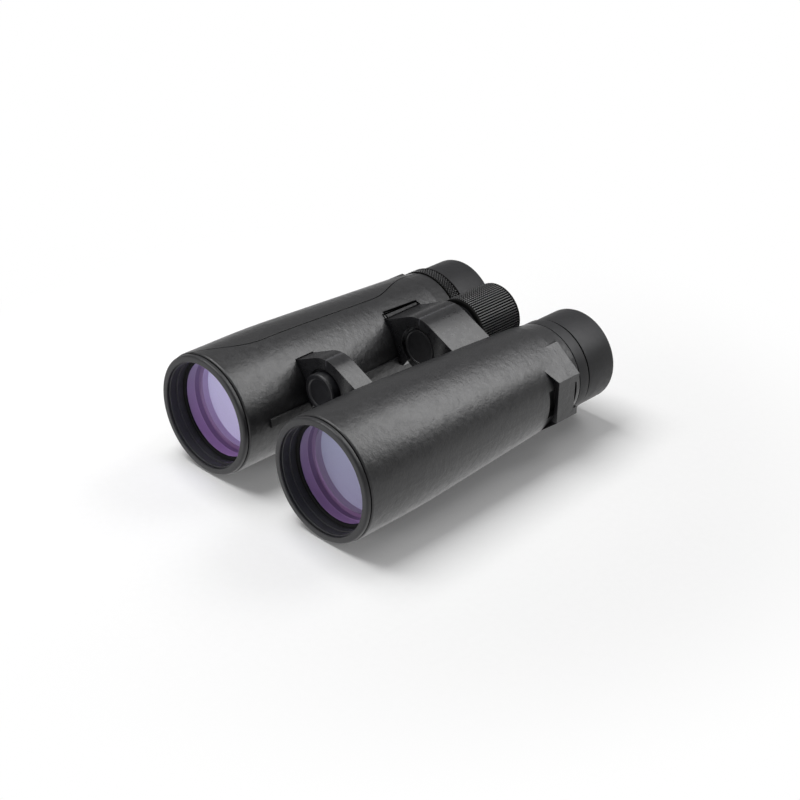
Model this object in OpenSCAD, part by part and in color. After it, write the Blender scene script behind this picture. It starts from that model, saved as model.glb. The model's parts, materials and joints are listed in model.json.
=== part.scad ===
// Open-bridge roof-prism binoculars: two rubber-armoured barrels on a split front and rear hinge,
// a focus wheel behind the rear bridge and twist-up eyecups.
// The row frame: +X is the user's left barrel, +Y points to the eyepieces, +Z is up.
// The origin lies midway between the barrels, at half length, on the surface they rest on.
// Stations are distances behind the front face of the objective rims.

/* [Barrels] */
// Width of the open gap between the barrels with the hinge opened wide
barrel_gap = 17.4; // [17:0.1:21]
// Outer radius of the armour around the objectives
body_r = 27.5; // [27:0.1:27.6]
// Distance by which the taper narrows the armour
taper_drop = 4.4; // [4.1:0.1:4.7]
// Length of the armour along the barrel
armour_len = 132.9; // [130:0.1:136]
// Station at which the taper begins
taper_start = 26; // [22:1:30]
// Length over which the taper sets in
taper_blend = 24; // [16:1:28]
// Distance from the end of the taper to the rear end of the armour
neck_len = 9.4; // [8:0.1:11]
// Distance by which the neck narrows to the rear end of the armour
neck_drop = 1.2; // [1:0.1:1.5]
// Thickness of the rubber armour
armour_t = 1.9; // [1.6:0.1:2]
// Wall of the housing around the objective cell
housing_wall = 1.3; // [1.1:0.1:1.6]
// Wall of the housing around the prisms where the taper ends
prism_wall = 1.2; // [1:0.1:1.5]
// Wall of the housing at its rear end
tail_wall = 1.5; // [1.3:0.1:1.8]
// Radius of the fold at the front edge of the armour
armour_edge = 0.8; // [0.4:0.1:1.2]

/* [Objectives] */
// Distance by which the objective rim lies inside the armour's outline
rim_step = 0.5; // [0.3:0.1:0.8]
// Distance by which the rim reaches in over the objective cell
rim_cover = 0.3; // [0.2:0.1:0.5]
// Length of the objective rim
rim_len = 2.2; // [1.8:0.1:3]
// Thickness of the front face of the rim
rim_face_t = 1.2; // [1:0.1:1.4]
// Length of the objective cell
cell_len = 24; // [22:0.5:27]
// Wall of the objective cell around its open front
cell_wall = 0.8; // [0.7:0.05:0.9]
// Width of the step that carries the objective lens
lens_step = 0.95; // [0.8:0.05:1.4]
// Station of the lens edge
lens_station = 9.8; // [9:0.1:11]
// Thickness of the crown lens at its edge
crown_edge_t = 3; // [2.5:0.1:4]
// Thickness of the flint lens at its edge
flint_edge_t = 4.8; // [4.6:0.1:5.5]
// Radius of the front face of the crown lens
crown_front_r = 90; // [80:1:110]
// Radius of the cemented faces
cement_r = 75; // [70:1:90]
// Length of the retaining ring in front of the lens
retainer_len = 1.5; // [1.2:0.1:2]
// Width of the retaining ring's lip over the lens
retainer_lip = 0.6; // [0.4:0.1:1]

/* [Armour details] */
// Height of the inner rail above the armour
rail_h = 0.8; // [0.5:0.1:1]
// Width of the inner rail
rail_w = 3.8; // [3:0.1:4.4]
// Height of the middle of the rail above the optical axis
rail_z = 2.3; // [1.5:0.1:3]
// Station at which the rail begins
rail_start = 14; // [10:1:20]
// Distance by which the rail reaches past the rear bridge
rail_over = 6; // [4:0.5:8]
// Angle of the tongue beside the rear bridge above the inner side
tongue_angle = 52.3; // [51:0.5:54]
// Width of the tongue
tongue_w = 3; // [2.6:0.1:3.4]
// Distance by which the tongue reaches past the rear bridge
tongue_over = 0.6; // [0.2:0.1:2]
// Width of the groove around the tongue
tongue_groove = 0.7; // [0.5:0.1:0.9]
// Depth of the groove around the tongue
tongue_depth = 0.8; // [0.4:0.1:1]

/* [Side panel] */
// Distance of the panel's edge from the barrel axis towards the hinge, seen from above
panel_in = 4.1; // [3:0.1:5]
// Length of the bow in the panel's edge at the objective
panel_front_len = 28.5; // [20:0.5:34]
// Distance by which the front bow swings outwards
panel_front_bow = 13.4; // [8:0.1:15]
// Distance from the start of the bow at the eyepiece to the rear end of the armour
panel_back = 38.4; // [30:0.1:42]
// Length of the bow at the eyepiece
panel_rear_len = 30; // [20:0.5:30]
// Distance by which the rear bow swings outwards
panel_rear_bow = 9; // [4:0.1:12]
// Width of the line along the panel's edge
panel_line_w = 0.5; // [0.4:0.05:0.8]
// Depth of the line along the panel's edge
panel_line_t = 0.8; // [0.7:0.05:0.9]

/* [Strap lugs] */
// Distance by which the lug's flat outer face stands out past the end of the taper
lug_out = 1.5; // [1.3:0.1:1.9]
// Half height of the flat outer face
lug_half_h = 10; // [9:0.1:10.5]
// Distance from the front edge of the lug bar to the rear end of the armour
lug_back = 17.9; // [16.9:0.1:18.4]
// Length of the lug bar along the barrel
lug_len = 11; // [9:0.1:11.5]
// Slope of the upper and lower lug faces
lug_slope = 38; // [34:1:42]
// Width of the strap slot along the barrel
slot_len = 4.4; // [4:0.1:4.6]
// Height of the strap slot
slot_h = 13; // [11:0.1:14]
// Depth of the strap tunnel below the bar
slot_depth = 2.8; // [2.5:0.1:3]
// Thickness of the lug bar
lug_bar_t = 2; // [1.8:0.1:2.2]

/* [Bridges] */
// Height of the hinge axis above the optical axes
hinge_rise = 12.7; // [12:0.1:13.5]
// Outer radius of the bridge hoods
hood_r = 14.6; // [14.4:0.1:14.8]
// Slope of the hood flanks down to the barrels
flank_slope = 25; // [23:1:27]
// Angle of the lower face of each arm below the level
arm_low_angle = 55; // [50:1:58]
// Station of the front bridge
front_station = 37; // [36:0.1:38]
// Length of the front bridge
front_len = 10; // [9.6:0.1:11]
// Distance from the front of the front bridge to the joint between its knuckles
front_split_in = 5.5; // [5:0.1:6]
// Radius of the front knuckles
front_hub_r = 11; // [10.8:0.1:11.2]
// Distance from the front of the rear bridge to the rear end of the armour
rear_back = 42.6; // [42:0.1:43.4]
// Length of the rear bridge
rear_len = 22.7; // [22.4:0.1:23]
// Radius of the rear knuckles
rear_hub_r = 12.4; // [12.2:0.1:12.6]
// Thickness of the bridge front faces
face_t = 1.4; // [1.2:0.1:1.6]
// Radius of the opening in the bridge front faces
face_hole_r = 9.7; // [9.5:0.1:9.9]
// Radius of the front hinge axle
axle_r = 5; // [4.5:0.1:5.5]
// Radius of the hinge cap and of the rear hinge disc
cap_r = 8.5; // [8:0.1:8.8]
// Distance by which the hinge cap stands out
cap_out = 3.5; // [3:0.1:4]
// Outer radius of the rear hinge sleeve
sleeve_r = 9.5; // [9.3:0.1:9.7]
// Wall of the rear hinge sleeve
sleeve_wall = 1.9; // [1.7:0.1:2]
// Distance by which the rear disc lies behind the bridge face
disc_in = 0.7; // [0.4:0.1:1]
// Thickness of the rear disc
disc_t = 2; // [1.8:0.1:2.2]

/* [Focus] */
// Length of the open neck between the rear bridge and the focus wheel
wheel_neck = 4.2; // [4:0.1:5]
// Length of the focus wheel
wheel_len = 25.8; // [24:0.1:26.5]
// Outer radius of the focus wheel
wheel_r = 14.3; // [13.8:0.1:14.6]
// Thickness of the knurled grip
grip_t = 2.3; // [2:0.1:2.6]
// Number of ribs on the grip
grip_ribs = 72; // [60:4:80]
// Depth of the grooves between the ribs of the grip
grip_groove_t = 0.35; // [0.25:0.05:0.4]
// Width of the plain bevelled rims of the grip
grip_rim = 1.3; // [1:0.1:1.6]
// Radius of the focus shaft
shaft_r = 3; // [2.6:0.1:3.2]
// Travel of the focusing lenses each way from the middle
focus_travel = 1.2; // [0.8:0.1:1.2]
// Radius of the drive fingers
finger_r = 1.25; // [1.1:0.05:1.3]
// Distance of the right barrel's finger behind the front of the rear bridge
finger_in = 7.4; // [7.4:0.1:7.6]
// Distance between the fingers of the two barrels
finger_gap = 7.6; // [7.5:0.1:7.7]
// Largest fold of the hinge from rest
fold_range = 47.8; // [40:0.1:47.8]

/* [Inner optics] */
// Step between the bores of the objective cell and of the focusing cell
focus_step = 2; // [1.9:0.05:2.2]
// Distance from the front of the focusing cell to the prism holder
focus_to_prism = 18; // [16:1:22]
// Length of the focusing cell
focus_cell_len = 8; // [7:0.5:9]
// Width of the focusing cell between its lens and the drive rod
focus_web = 2; // [1.5:0.1:3]
// Thickness of the focusing lens
focus_lens_t = 3.6; // [3.4:0.1:4.4]
// Light path of the prisms
prism_path = 18; // [17:0.1:18]
// Thickness of the prisms across the light path
prism_w = 17; // [16:0.1:17.5]
// Air gap between the prisms
prism_gap = 0.3; // [0.2:0.1:0.4]
// Distance from the front of the prism holder to the rear bridge
prism_ahead = 12.8; // [12.4:0.1:13.8]
// Radius of the light openings of the prism holder
prism_hole_r = 8; // [7.5:0.1:8.2]

/* [Eyepieces] */
// Length of the ring in front of the eyecup
ring_len = 6.4; // [5.8:0.1:7]
// Distance by which the plain left ring lies inside the armour's rear end
ring_step = 0.1; // [0:0.1:0.3]
// Distance by which the knurled right dioptre ring stands out past the plain ring
dioptre_out = 0.6; // [0.4:0.1:0.7]
// Number of ribs on the dioptre ring
dioptre_ribs = 90; // [80:2:100]
// Depth of the grooves between the ribs of the dioptre ring
dioptre_groove_t = 0.3; // [0.25:0.05:0.4]
// Length of the eyecup
cup_len = 18.7; // [18:0.1:19.5]
// Fold at the outer edge of the eyecup
cup_edge = 2.2; // [1.5:0.1:2.4]
// Width of the eyecup's lip inside its core
cup_lip = 3.2; // [2.8:0.1:3.9]
// Thickness of the eyecup rubber
cup_rubber_t = 1.45; // [1.3:0.05:1.6]
// Thickness of the eyecup end rubber
cup_end_t = 2.6; // [2.4:0.1:2.8]
// Wall of the eyecup core
cup_core_t = 1.4; // [1.3:0.1:1.5]
// Wall of the eyecup guide
guide_t = 1; // [0.8:0.1:1.1]
// Step of the ocular tube down to its neck
tube_step = 1.25; // [1.2:0.05:1.3]
// Wall of the ocular tube's neck
tube_wall = 0.7; // [0.6:0.05:0.9]
// Length of the ocular cell
ocular_cell_len = 33.95; // [33:0.05:35]
// Wall of the ocular cell
ocular_wall = 1.8; // [1.6:0.1:2]
// Wall of the ocular cell around the eye lens
eye_wall = 3.55; // [3.3:0.05:3.9]
// Travel of the right ocular cell each way
dioptre_travel = 1; // [0.5:0.1:1]

/* [Fits] */
// Radial play between pieces that are fixed together
fit = 0.05; // [0.03:0.01:0.08]
// Radial play of pieces that turn or slide in one another
run = 0.1; // [0.08:0.01:0.1]
// Gap between neighbouring pieces that show a joint line
line_gap = 0.3; // [0.25:0.01:0.4]

/* [Hidden] */
$fn = 128;
fine = 360;
eps = 0.01;
far = 60;

armour_start = rim_len + line_gap;
armour_end = armour_start + armour_len;
ring_start = armour_end + line_gap;
ring_end = ring_start + ring_len;
cup_start = ring_end + line_gap + run;
total_len = cup_start + cup_len;
taper_end = armour_end - neck_len;
tail_r = body_r - taper_drop;
neck_r = tail_r - neck_drop;
axis_z = body_r;
hinge_z = axis_z + hinge_rise;
half = body_r + barrel_gap / 2;
arm_span = norm([half, hinge_rise]);
arm_angle = atan2(hinge_rise, half);
taper_rate = (body_r - tail_r) / (taper_end - taper_start - taper_blend / 2);
blend_steps = 4;

housing_r = body_r - armour_t;
cell_bore_r = housing_r - housing_wall;
rim_r = body_r - rim_step;
rim_hole_r = cell_bore_r - rim_cover;
cell_start = rim_face_t + fit;
cell_end = cell_start + cell_len;
cell_r = cell_bore_r - fit;
cell_mouth_r = cell_r - cell_wall;
lens_r = cell_mouth_r - lens_step;
pocket_r = lens_r + fit;
crown_end = lens_station + crown_edge_t;
flint_end = crown_end + flint_edge_t;
retainer_start = lens_station - fit - retainer_len;

front_end = front_station + front_len;
rear_station = armour_end - rear_back;
rear_end = rear_station + rear_len;
lug_start = armour_end - lug_back;
lug_end = lug_start + lug_len;
right_finger = rear_station + finger_in;
left_finger = right_finger + finger_gap;
wheel_station = rear_end + wheel_neck;
wheel_end = wheel_station + wheel_len;

cell_room = 6;
tunnel_wall = 0.1;
prism_station = rear_station - prism_ahead;
focus_station = prism_station - focus_to_prism;
front_bore_end = cell_end + cell_room;
focus_bore_end = focus_station + focus_cell_len + cell_room;
prism_bore_end = lug_start - slot_len - tunnel_wall;
focus_bore_r = cell_bore_r - focus_step;
prism_bore_r = tail_r - armour_t - prism_wall;
ocular_bore_r = neck_r - armour_t - tail_wall;
focus_cell_r = focus_bore_r - run;
rod_r = 1.2;
rod_gap = 0.6;
rod_reach = prism_bore_r - rod_gap - rod_r;
focus_lens_r = rod_reach - rod_r - focus_web;
finger_slot = 2 * (finger_r + focus_travel + line_gap);
finger_room = 0.65;
slot_side = finger_r + finger_room;
groove_play = 0.15;
groove_w = 2 * (finger_r + groove_play);
flange_t = 1.6;
carriage_core = 1.5;
groove_r = shaft_r + run + carriage_core;
tip_gap = 0.4;
tip_r = groove_r + tip_gap;

front_split = front_station + front_split_in;
rear_split = (right_finger + left_finger) / 2;
split_half = line_gap / 2;
front_face_end = front_station + face_t;
rear_face_end = rear_station + face_t;
wheel_room = 1.1;
sleeve_start = rear_station + disc_in + disc_t;
sleeve_end = wheel_station - wheel_room;
sleeve_in_r = sleeve_r - sleeve_wall;
carriage_r = sleeve_in_r - run;
carriage_start = right_finger - groove_w / 2 - flange_t;
carriage_end = left_finger + groove_w / 2 + flange_t;
plug_end = carriage_start - focus_travel - line_gap;
bearing_start = carriage_end + focus_travel + line_gap;

panel_front_end = armour_start + panel_front_len;
panel_rear_start = armour_end - panel_back;
panel_steps = 8;

lug_x = tail_r + lug_out;
tunnel_in = lug_x - lug_bar_t - slot_depth;
lug_root = 16;
lug_lead = 7.5;
lug_tail = 2.5;
lug_spread = 1.4;

grip_in_r = wheel_r - grip_t;
wheel_core_r = grip_in_r - fit;
wheel_core_in = 0.2;
wheel_cap_t = 2.4;
wheel_cap_gap = 0.6;
shaft_in = 1;
rim_drop = 0.2;

prism_len = prism_path + prism_gap * sqrt(2);
holder_wall = 1.6;
holder_len = prism_len + 2 * holder_wall + 2 * fit;
holder_r = prism_bore_r - run;
prism_from = prism_station + holder_wall + fit;

ring_r = neck_r - ring_step;
dioptre_r = ring_r + dioptre_out;
tube_out_r = ocular_bore_r - fit;
tube_neck_r = tube_out_r - tube_step;
guide_r = tube_neck_r + run;
core_r = guide_r + guide_t + run;
core_out_r = core_r + cup_core_t;
cup_r = core_out_r + fit + cup_rubber_t;
cup_hole_r = core_r - cup_lip;
core_in = 0.4;
core_lip_t = 2.2;
cup_hole_edge = 0.6;
tube_gap = 0.8;
tube_room = dioptre_travel + tube_gap;
guide_room = 0.5;
lip_start = total_len - cup_end_t - fit - core_lip_t;
tube_end = lip_start - tube_room;
guide_end = lip_start - guide_room;
ocular_r = tube_neck_r - tube_wall;
ocular_end = tube_end - run;
ocular_start = ocular_end - ocular_cell_len;
ocular_cell_r = ocular_r - run;
field_lens_r = ocular_cell_r - ocular_wall - fit;
eye_lens_r = ocular_cell_r - eye_wall - fit;
field_lens_t = 5;
eye_lens_t = 3.6;
lens_lip = 0.8;
lens_margin = 1;
field_stop_len = 8;

// ---- Helpers ----

// Puts a shape on an optical axis: its z runs from the objective rim to the eyepiece
module on_barrel() {
    translate([half, -total_len / 2, axis_z]) rotate([-90, 0, 0]) children();
}

// Puts a shape on the hinge axis in the same way
module on_hinge() {
    translate([0, -total_len / 2, hinge_z]) rotate([-90, 0, 0]) children();
}

// Extrudes a profile drawn across the barrel, x outwards and y up, between two stations
module across_barrel(from, to) {
    on_barrel() translate([0, 0, from]) linear_extrude(to - from) mirror([0, 1]) children();
}

// Extrudes a profile drawn across the hinge, x to the left barrel and y up
module across_hinge(from, to) {
    on_hinge() translate([0, 0, from]) linear_extrude(to - from) mirror([0, 1]) children();
}

module ring(r_in, r_out, from, to) {
    translate([0, 0, from]) difference() {
        cylinder(r = r_out, h = to - from);
        translate([0, 0, -1]) cylinder(r = r_in, h = to - from + 2);
    }
}

module rod(r, from, to) {
    translate([0, 0, from]) cylinder(r = r, h = to - from);
}

// Outline with ribs all round: tips at radius r, valleys set in by depth
module ribbed_outline(r, count, depth) {
    tip = 0.2;
    valley = 0.15;
    corners = [[-tip, 0], [tip, 0], [0.5 - valley, depth], [0.5 + valley, depth]];
    polygon([for (k = [0 : count - 1], c = corners)
        let (angle = 360 * (k + c[0]) / count) (r - c[1]) * [cos(angle), sin(angle)]]);
}

// Turns a shape so that its x points from the barrel to the hinge
module towards_hinge() {
    rotate([0, 0, 180 + arm_angle]) children();
}

// Outline of the barrel: cylinder, soft onset of the taper, straight taper, neck
function barrel_r(s) =
    s < taper_start ? body_r
    : s < taper_start + taper_blend ? body_r - taper_rate * pow(s - taper_start, 2) / (2 * taper_blend)
    : s <= taper_end ? body_r - taper_rate * (s - taper_start - taper_blend / 2)
    : tail_r + (neck_r - tail_r) * (s - taper_end) / neck_len;

function blend_line(shift) = [
    for (k = [0 : blend_steps])
        let (s = taper_start + taper_blend * k / blend_steps) [barrel_r(s) + shift, s]
];

// Solid of revolution that follows the barrel, set in or out by shift
module barrel_solid(shift, from, to) {
    rotate_extrude() polygon(concat(
        [[0, from], [barrel_r(from) + shift, from]],
        blend_line(shift),
        [[barrel_r(taper_end) + shift, taper_end], [barrel_r(to) + shift, to], [0, to]]
    ));
}

// ---- Housing and armour ----

module finger_slot_cut(station, from, to) {
    towards_hinge() translate([from, -slot_side, station - finger_slot / 2])
        cube([to - from, 2 * slot_side, finger_slot]);
}

module housing_shape(station) {
    difference() {
        on_barrel() difference() {
            barrel_solid(-armour_t, rim_face_t, armour_end);
            rod(cell_bore_r, rim_face_t - 1, front_bore_end);
            rod(focus_bore_r, front_bore_end - 1, focus_bore_end);
            rod(prism_bore_r, focus_bore_end - 1, prism_bore_end);
            rod(ocular_bore_r, prism_bore_end - 1, armour_end + 1);
            finger_slot_cut(station, prism_bore_r - 2, body_r);
        }
        strap_tunnel();
    }
}

// Room for the strap: a slot ahead of the bar, a tunnel below it and a slot behind it
module strap_tunnel() {
    across_barrel(lug_start - slot_len, lug_end + slot_len)
        translate([tunnel_in, -slot_h / 2]) square([slot_depth, slot_h]);
    for (s = [lug_start - slot_len, lug_end])
        across_barrel(s, s + slot_len)
            translate([tunnel_in, -slot_h / 2]) square([far, slot_h]);
}

// The lug's faces seen along the barrel: a flat outer face between two sloping ones
module lug_profile() {
    x_in = lug_x - lug_root;
    z_in = lug_half_h + lug_root * tan(lug_slope);
    polygon([[x_in, z_in], [lug_x, lug_half_h], [lug_x, -lug_half_h], [x_in, -z_in]]);
}

// The lug seen from the side: its front edge runs forward above and below the slot
module lug_side() {
    top = lug_half_h + lug_lead * lug_spread;
    polygon([
        [lug_start, -lug_half_h], [lug_start - lug_lead, -top], [lug_end + lug_tail, -top],
        [lug_end + lug_tail, top], [lug_start - lug_lead, top], [lug_start, lug_half_h]
    ]);
}

module lug_block() {
    intersection() {
        across_barrel(lug_start - lug_lead - 1, lug_end + lug_tail) lug_profile();
        translate([half, -total_len / 2, axis_z]) rotate([0, 90, 0]) rotate([0, 0, 90])
            linear_extrude(far) lug_side();
    }
}

module rail_band() {
    intersection() {
        on_barrel() barrel_solid(rail_h, armour_start, armour_end);
        across_barrel(rail_start, rear_end + rail_over)
            translate([-body_r - rail_h - 1, rail_z - rail_w / 2]) square([body_r / 2, rail_w]);
    }
}

// Stadium-shaped prism that stands on the armour beside the rear bridge
module tongue_prism(grow) {
    end = rear_end + tongue_over - tongue_w / 2;
    on_barrel() rotate([0, 0, 180 + tongue_angle]) rotate([0, 90, 0])
        linear_extrude(body_r) union() {
            translate([-end, 0]) circle(r = tongue_w / 2 + grow);
            translate([-end, -tongue_w / 2 - grow])
                square([end - rear_station - 1 + grow, tongue_w + 2 * grow]);
        }
}

// Edge of the side panel seen from above, from the barrel axis towards the hinge
function panel_edge(s) =
    s < panel_front_end ? panel_in - panel_front_bow * pow((panel_front_end - s) / panel_front_len, 2)
    : panel_in - panel_rear_bow * ease(max(0, min(1, (s - panel_rear_start) / panel_rear_len)));

function ease(t) = t * t * (3 - 2 * t);

module panel_line_cut() {
    stations = concat(
        [for (k = [0 : panel_steps]) armour_start - 1 + (panel_front_len + 1) * k / panel_steps],
        [for (k = [0 : panel_steps]) panel_rear_start + (panel_back + 1) * k / panel_steps]
    );
    last = len(stations) - 1;
    difference() {
        translate([half, -total_len / 2, axis_z]) mirror([1, 0, 0]) linear_extrude(body_r + 1) polygon(concat(
            [for (s = stations) [panel_edge(s) - panel_line_w / 2, s]],
            [for (k = [last : -1 : 0]) [panel_edge(stations[k]) + panel_line_w / 2, stations[k]]]
        ));
        on_barrel() barrel_solid(-panel_line_t, 0, total_len);
    }
}

module armour_shape() {
    difference() {
        union() {
            on_barrel() rotate_extrude() polygon(concat(
                [[0, armour_start], [body_r - armour_edge, armour_start]],
                [for (a = [30, 60, 90]) [
                    body_r - armour_edge * (1 - sin(a)), armour_start + armour_edge * (1 - cos(a))
                ]],
                blend_line(0),
                [[tail_r, taper_end], [neck_r, armour_end], [0, armour_end]]
            ));
            rail_band();
            lug_block();
        }
        on_barrel() barrel_solid(-armour_t, armour_start - 1, armour_end + 1);
        arm_envelope(front_station, front_end);
        arm_envelope(rear_station, rear_end);
        strap_tunnel();
        difference() {
            tongue_prism(tongue_groove);
            tongue_prism(0);
            on_barrel() barrel_solid(-tongue_depth, armour_start, armour_end);
        }
    }
}

// ---- Objectives ----

module objective_rim_shape() {
    edge = 0.7;
    tube_r = housing_r + fit;
    on_barrel() rotate_extrude() polygon(concat(
        [[rim_hole_r + edge / 2, 0], [rim_r - edge, 0]],
        [for (a = [30, 60, 90]) [rim_r - edge * (1 - sin(a)), edge * (1 - cos(a))]],
        [[rim_r, rim_len], [tube_r, rim_len], [tube_r, rim_face_t], [rim_hole_r, rim_face_t],
         [rim_hole_r, edge / 2]]
    ));
}

module objective_cell_shape() {
    shoulder = 1.1;
    groove_in = 1;
    groove_t = 0.4;
    groove_len = 1.6;
    groove_at = cell_start + groove_in + groove_len;
    on_barrel() difference() {
        rod(cell_r, cell_start, cell_end);
        rod(cell_mouth_r, cell_start - 1, lens_station);
        ring(cell_mouth_r - 1, cell_mouth_r + groove_t, groove_at, groove_at + groove_len);
        rod(pocket_r, lens_station - 1, flint_end + fit);
        rod(pocket_r - shoulder, flint_end, cell_end + 1);
    }
}

// Height of a spherical cap of radius big over a disc of radius r
function sag(big, r) = big - sqrt(big * big - r * r);

module objective_retainer_shape() {
    lip_r = lens_r - retainer_lip;
    lip_slant = 0.5;
    bulge = sag(crown_front_r, lens_r) - sag(crown_front_r, lip_r);
    on_barrel() rotate_extrude() polygon([
        [lip_r, lens_station - fit - bulge], [lip_r + lip_slant, retainer_start],
        [cell_mouth_r - fit, retainer_start], [cell_mouth_r - fit, lens_station - fit],
        [lens_r, lens_station - fit]
    ]);
}

module objective_crown_shape() {
    top = lens_station - sag(crown_front_r, lens_r);
    low = crown_end + sag(cement_r, lens_r);
    on_barrel() rotate_extrude() intersection() {
        translate([0, top + crown_front_r]) circle(r = crown_front_r, $fn = fine);
        translate([0, low - cement_r]) circle(r = cement_r, $fn = fine);
        translate([0, top - 1]) square([lens_r, low - top + 2]);
    }
}

module objective_flint_shape() {
    low = crown_end + sag(cement_r, lens_r);
    on_barrel() rotate_extrude() difference() {
        translate([0, crown_end + fit]) square([lens_r, flint_edge_t - fit]);
        translate([0, low - cement_r]) circle(r = cement_r + fit, $fn = fine);
    }
}

// ---- Inner optics ----

module focus_cell_shape(station) {
    seat = focus_station + (focus_cell_len - focus_lens_t) / 2;
    lip = 1.2;
    rod_foot = 2;
    on_barrel() {
        difference() {
            rod(focus_cell_r, focus_station, focus_station + focus_cell_len);
            rod(focus_lens_r + fit, seat - fit, focus_station + focus_cell_len + 1);
            rod(focus_lens_r - lip, focus_station - 1, focus_station + focus_cell_len);
        }
        towards_hinge() {
            translate([rod_reach, 0, 0]) rod(rod_r, focus_station + rod_foot, station + rod_r);
            translate([rod_reach, 0, station]) rotate([0, 90, 0])
                cylinder(r = finger_r, h = arm_span - tip_r - rod_reach);
        }
    }
}

module focus_lens_shape() {
    seat = focus_station + (focus_cell_len - focus_lens_t) / 2;
    curve_r = 90;
    on_barrel() rotate_extrude() difference() {
        translate([0, seat]) square([focus_lens_r, focus_lens_t]);
        translate([0, seat + sag(curve_r, focus_lens_r) - curve_r]) circle(r = curve_r, $fn = fine);
    }
}

// Draws a prism outline, x along the light path and y up, across the barrel
module prism_solid(w) {
    translate([half - w / 2, -total_len / 2 + prism_from, axis_z])
        rotate([90, 0, 90]) linear_extrude(w) children();
}

module half_penta_prism_shape() {
    a = prism_path;
    foot = a / (cos(22.5) + sin(22.5));
    prism_solid(prism_w)
        polygon([[0, a / 2], [0, -a / 2], [foot * cos(22.5), -a / 2 + foot * sin(22.5)]]);
}

module roof_prism_shape() {
    a = prism_path;
    leg = 1.15 * a;
    prism_solid(prism_w)
        polygon([[prism_len, -a / 2], [prism_len, -a / 2 + leg],
                 [prism_len - leg * cos(45), -a / 2 + leg * sin(45)]]);
}

module prism_holder_shape() {
    end = prism_station + holder_len;
    on_barrel() difference() {
        rod(holder_r, prism_station, end);
        translate([-prism_w / 2 - fit, -far / 2, prism_station + holder_wall])
            cube([prism_w + 2 * fit, far, holder_len - 2 * holder_wall]);
        rod(prism_hole_r, prism_station - 1, end + 1);
        towards_hinge() translate([rod_reach - rod_r - rod_gap, -slot_side, prism_station - 1])
            cube([far, 2 * slot_side, holder_len + 2]);
    }
}

// ---- Eyepieces ----

module ocular_tube_shape() {
    on_barrel() difference() {
        union() {
            rod(tube_out_r, prism_bore_end + fit, ring_end + run);
            rod(tube_neck_r, ring_end, tube_end);
        }
        rod(ocular_r, prism_bore_end - 1, tube_end + 1);
    }
}

module ocular_cell_shape() {
    field_start = ocular_start + lens_margin;
    eye_start = ocular_end - lens_margin - eye_lens_t - fit;
    on_barrel() difference() {
        rod(ocular_cell_r, ocular_start, ocular_end);
        rod(field_lens_r + fit, field_start, field_start + field_lens_t + fit);
        rod(field_lens_r - lens_lip, ocular_start - 1, eye_start - field_stop_len);
        rod(eye_lens_r - lens_lip, eye_start - field_stop_len - 1, eye_start + 1);
        rod(eye_lens_r + fit, eye_start, ocular_end + 1);
    }
}

module field_lens_shape() {
    curve_r = 40;
    start = ocular_start + lens_margin + fit / 2;
    on_barrel() rotate_extrude() intersection() {
        translate([0, start]) square([field_lens_r, field_lens_t]);
        translate([0, start + field_lens_t - curve_r]) circle(r = curve_r, $fn = fine);
    }
}

module eye_lens_shape() {
    curve_r = 60;
    start = ocular_end - lens_margin - eye_lens_t - fit / 2;
    on_barrel() rotate_extrude() intersection() {
        translate([0, start]) square([eye_lens_r, eye_lens_t]);
        translate([0, start + eye_lens_t - curve_r]) circle(r = curve_r, $fn = fine);
    }
}

module eyepiece_ring_shape() {
    on_barrel() ring(tube_out_r + run, ring_r, ring_start, ring_end);
}

module dioptre_ring_shape() {
    rim = 0.8;
    plain_r = dioptre_r - rim_drop;
    on_barrel() {
        translate([0, 0, ring_start + rim]) linear_extrude(ring_len - 2 * rim) difference() {
            ribbed_outline(dioptre_r, dioptre_ribs, dioptre_groove_t);
            circle(r = tube_out_r + run);
        }
        for (s = [ring_start, ring_end - rim]) ring(tube_out_r + run, plain_r, s, s + rim);
    }
}

module eyecup_guide_shape() {
    on_barrel() ring(guide_r, guide_r + guide_t, cup_start, guide_end);
}

module eyecup_core_shape() {
    on_barrel() {
        ring(core_r, core_out_r, cup_start + core_in, lip_start + eps);
        ring(cup_hole_r + cup_hole_edge, core_out_r, lip_start, total_len - cup_end_t - fit);
    }
}

module eyecup_rubber_shape() {
    inner = core_out_r + fit;
    on_barrel() rotate_extrude() polygon(concat(
        [[inner, cup_start], [cup_r, cup_start], [cup_r, total_len - cup_edge]],
        [for (a = [22.5, 45, 67.5, 90]) [
            cup_r - cup_edge * (1 - cos(a)), total_len - cup_edge * (1 - sin(a))
        ]],
        [[cup_hole_r + cup_hole_edge, total_len], [cup_hole_r, total_len - cup_hole_edge],
         [cup_hole_r, total_len - cup_end_t], [inner, total_len - cup_end_t]]
    ));
}

// ---- Bridges ----

// One arm seen along the hinge: hood, flank down to the barrel and lower face, grown by g
module arm_profile(g) {
    r = hood_r + g;
    low = arm_low_angle;
    touch = [r * sin(flank_slope), r * cos(flank_slope)];
    root = 3;
    reach = (half - touch[0]) / cos(flank_slope);
    outer = touch + reach * [cos(flank_slope), -sin(flank_slope)];
    side = split_half - g;
    intersection() {
        union() {
            circle(r = r);
            polygon([[side, 0], touch, outer, [half, -hinge_rise - root - g], [r * cos(low), -r * sin(low) - g]]);
        }
        polygon([[side, 0], [side, far], [far, far], [far, -far - g], [far / tan(low), -far - g]]);
    }
}

module arm_envelope(from, to) {
    across_hinge(from - line_gap, to + line_gap) arm_profile(line_gap);
}

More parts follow.
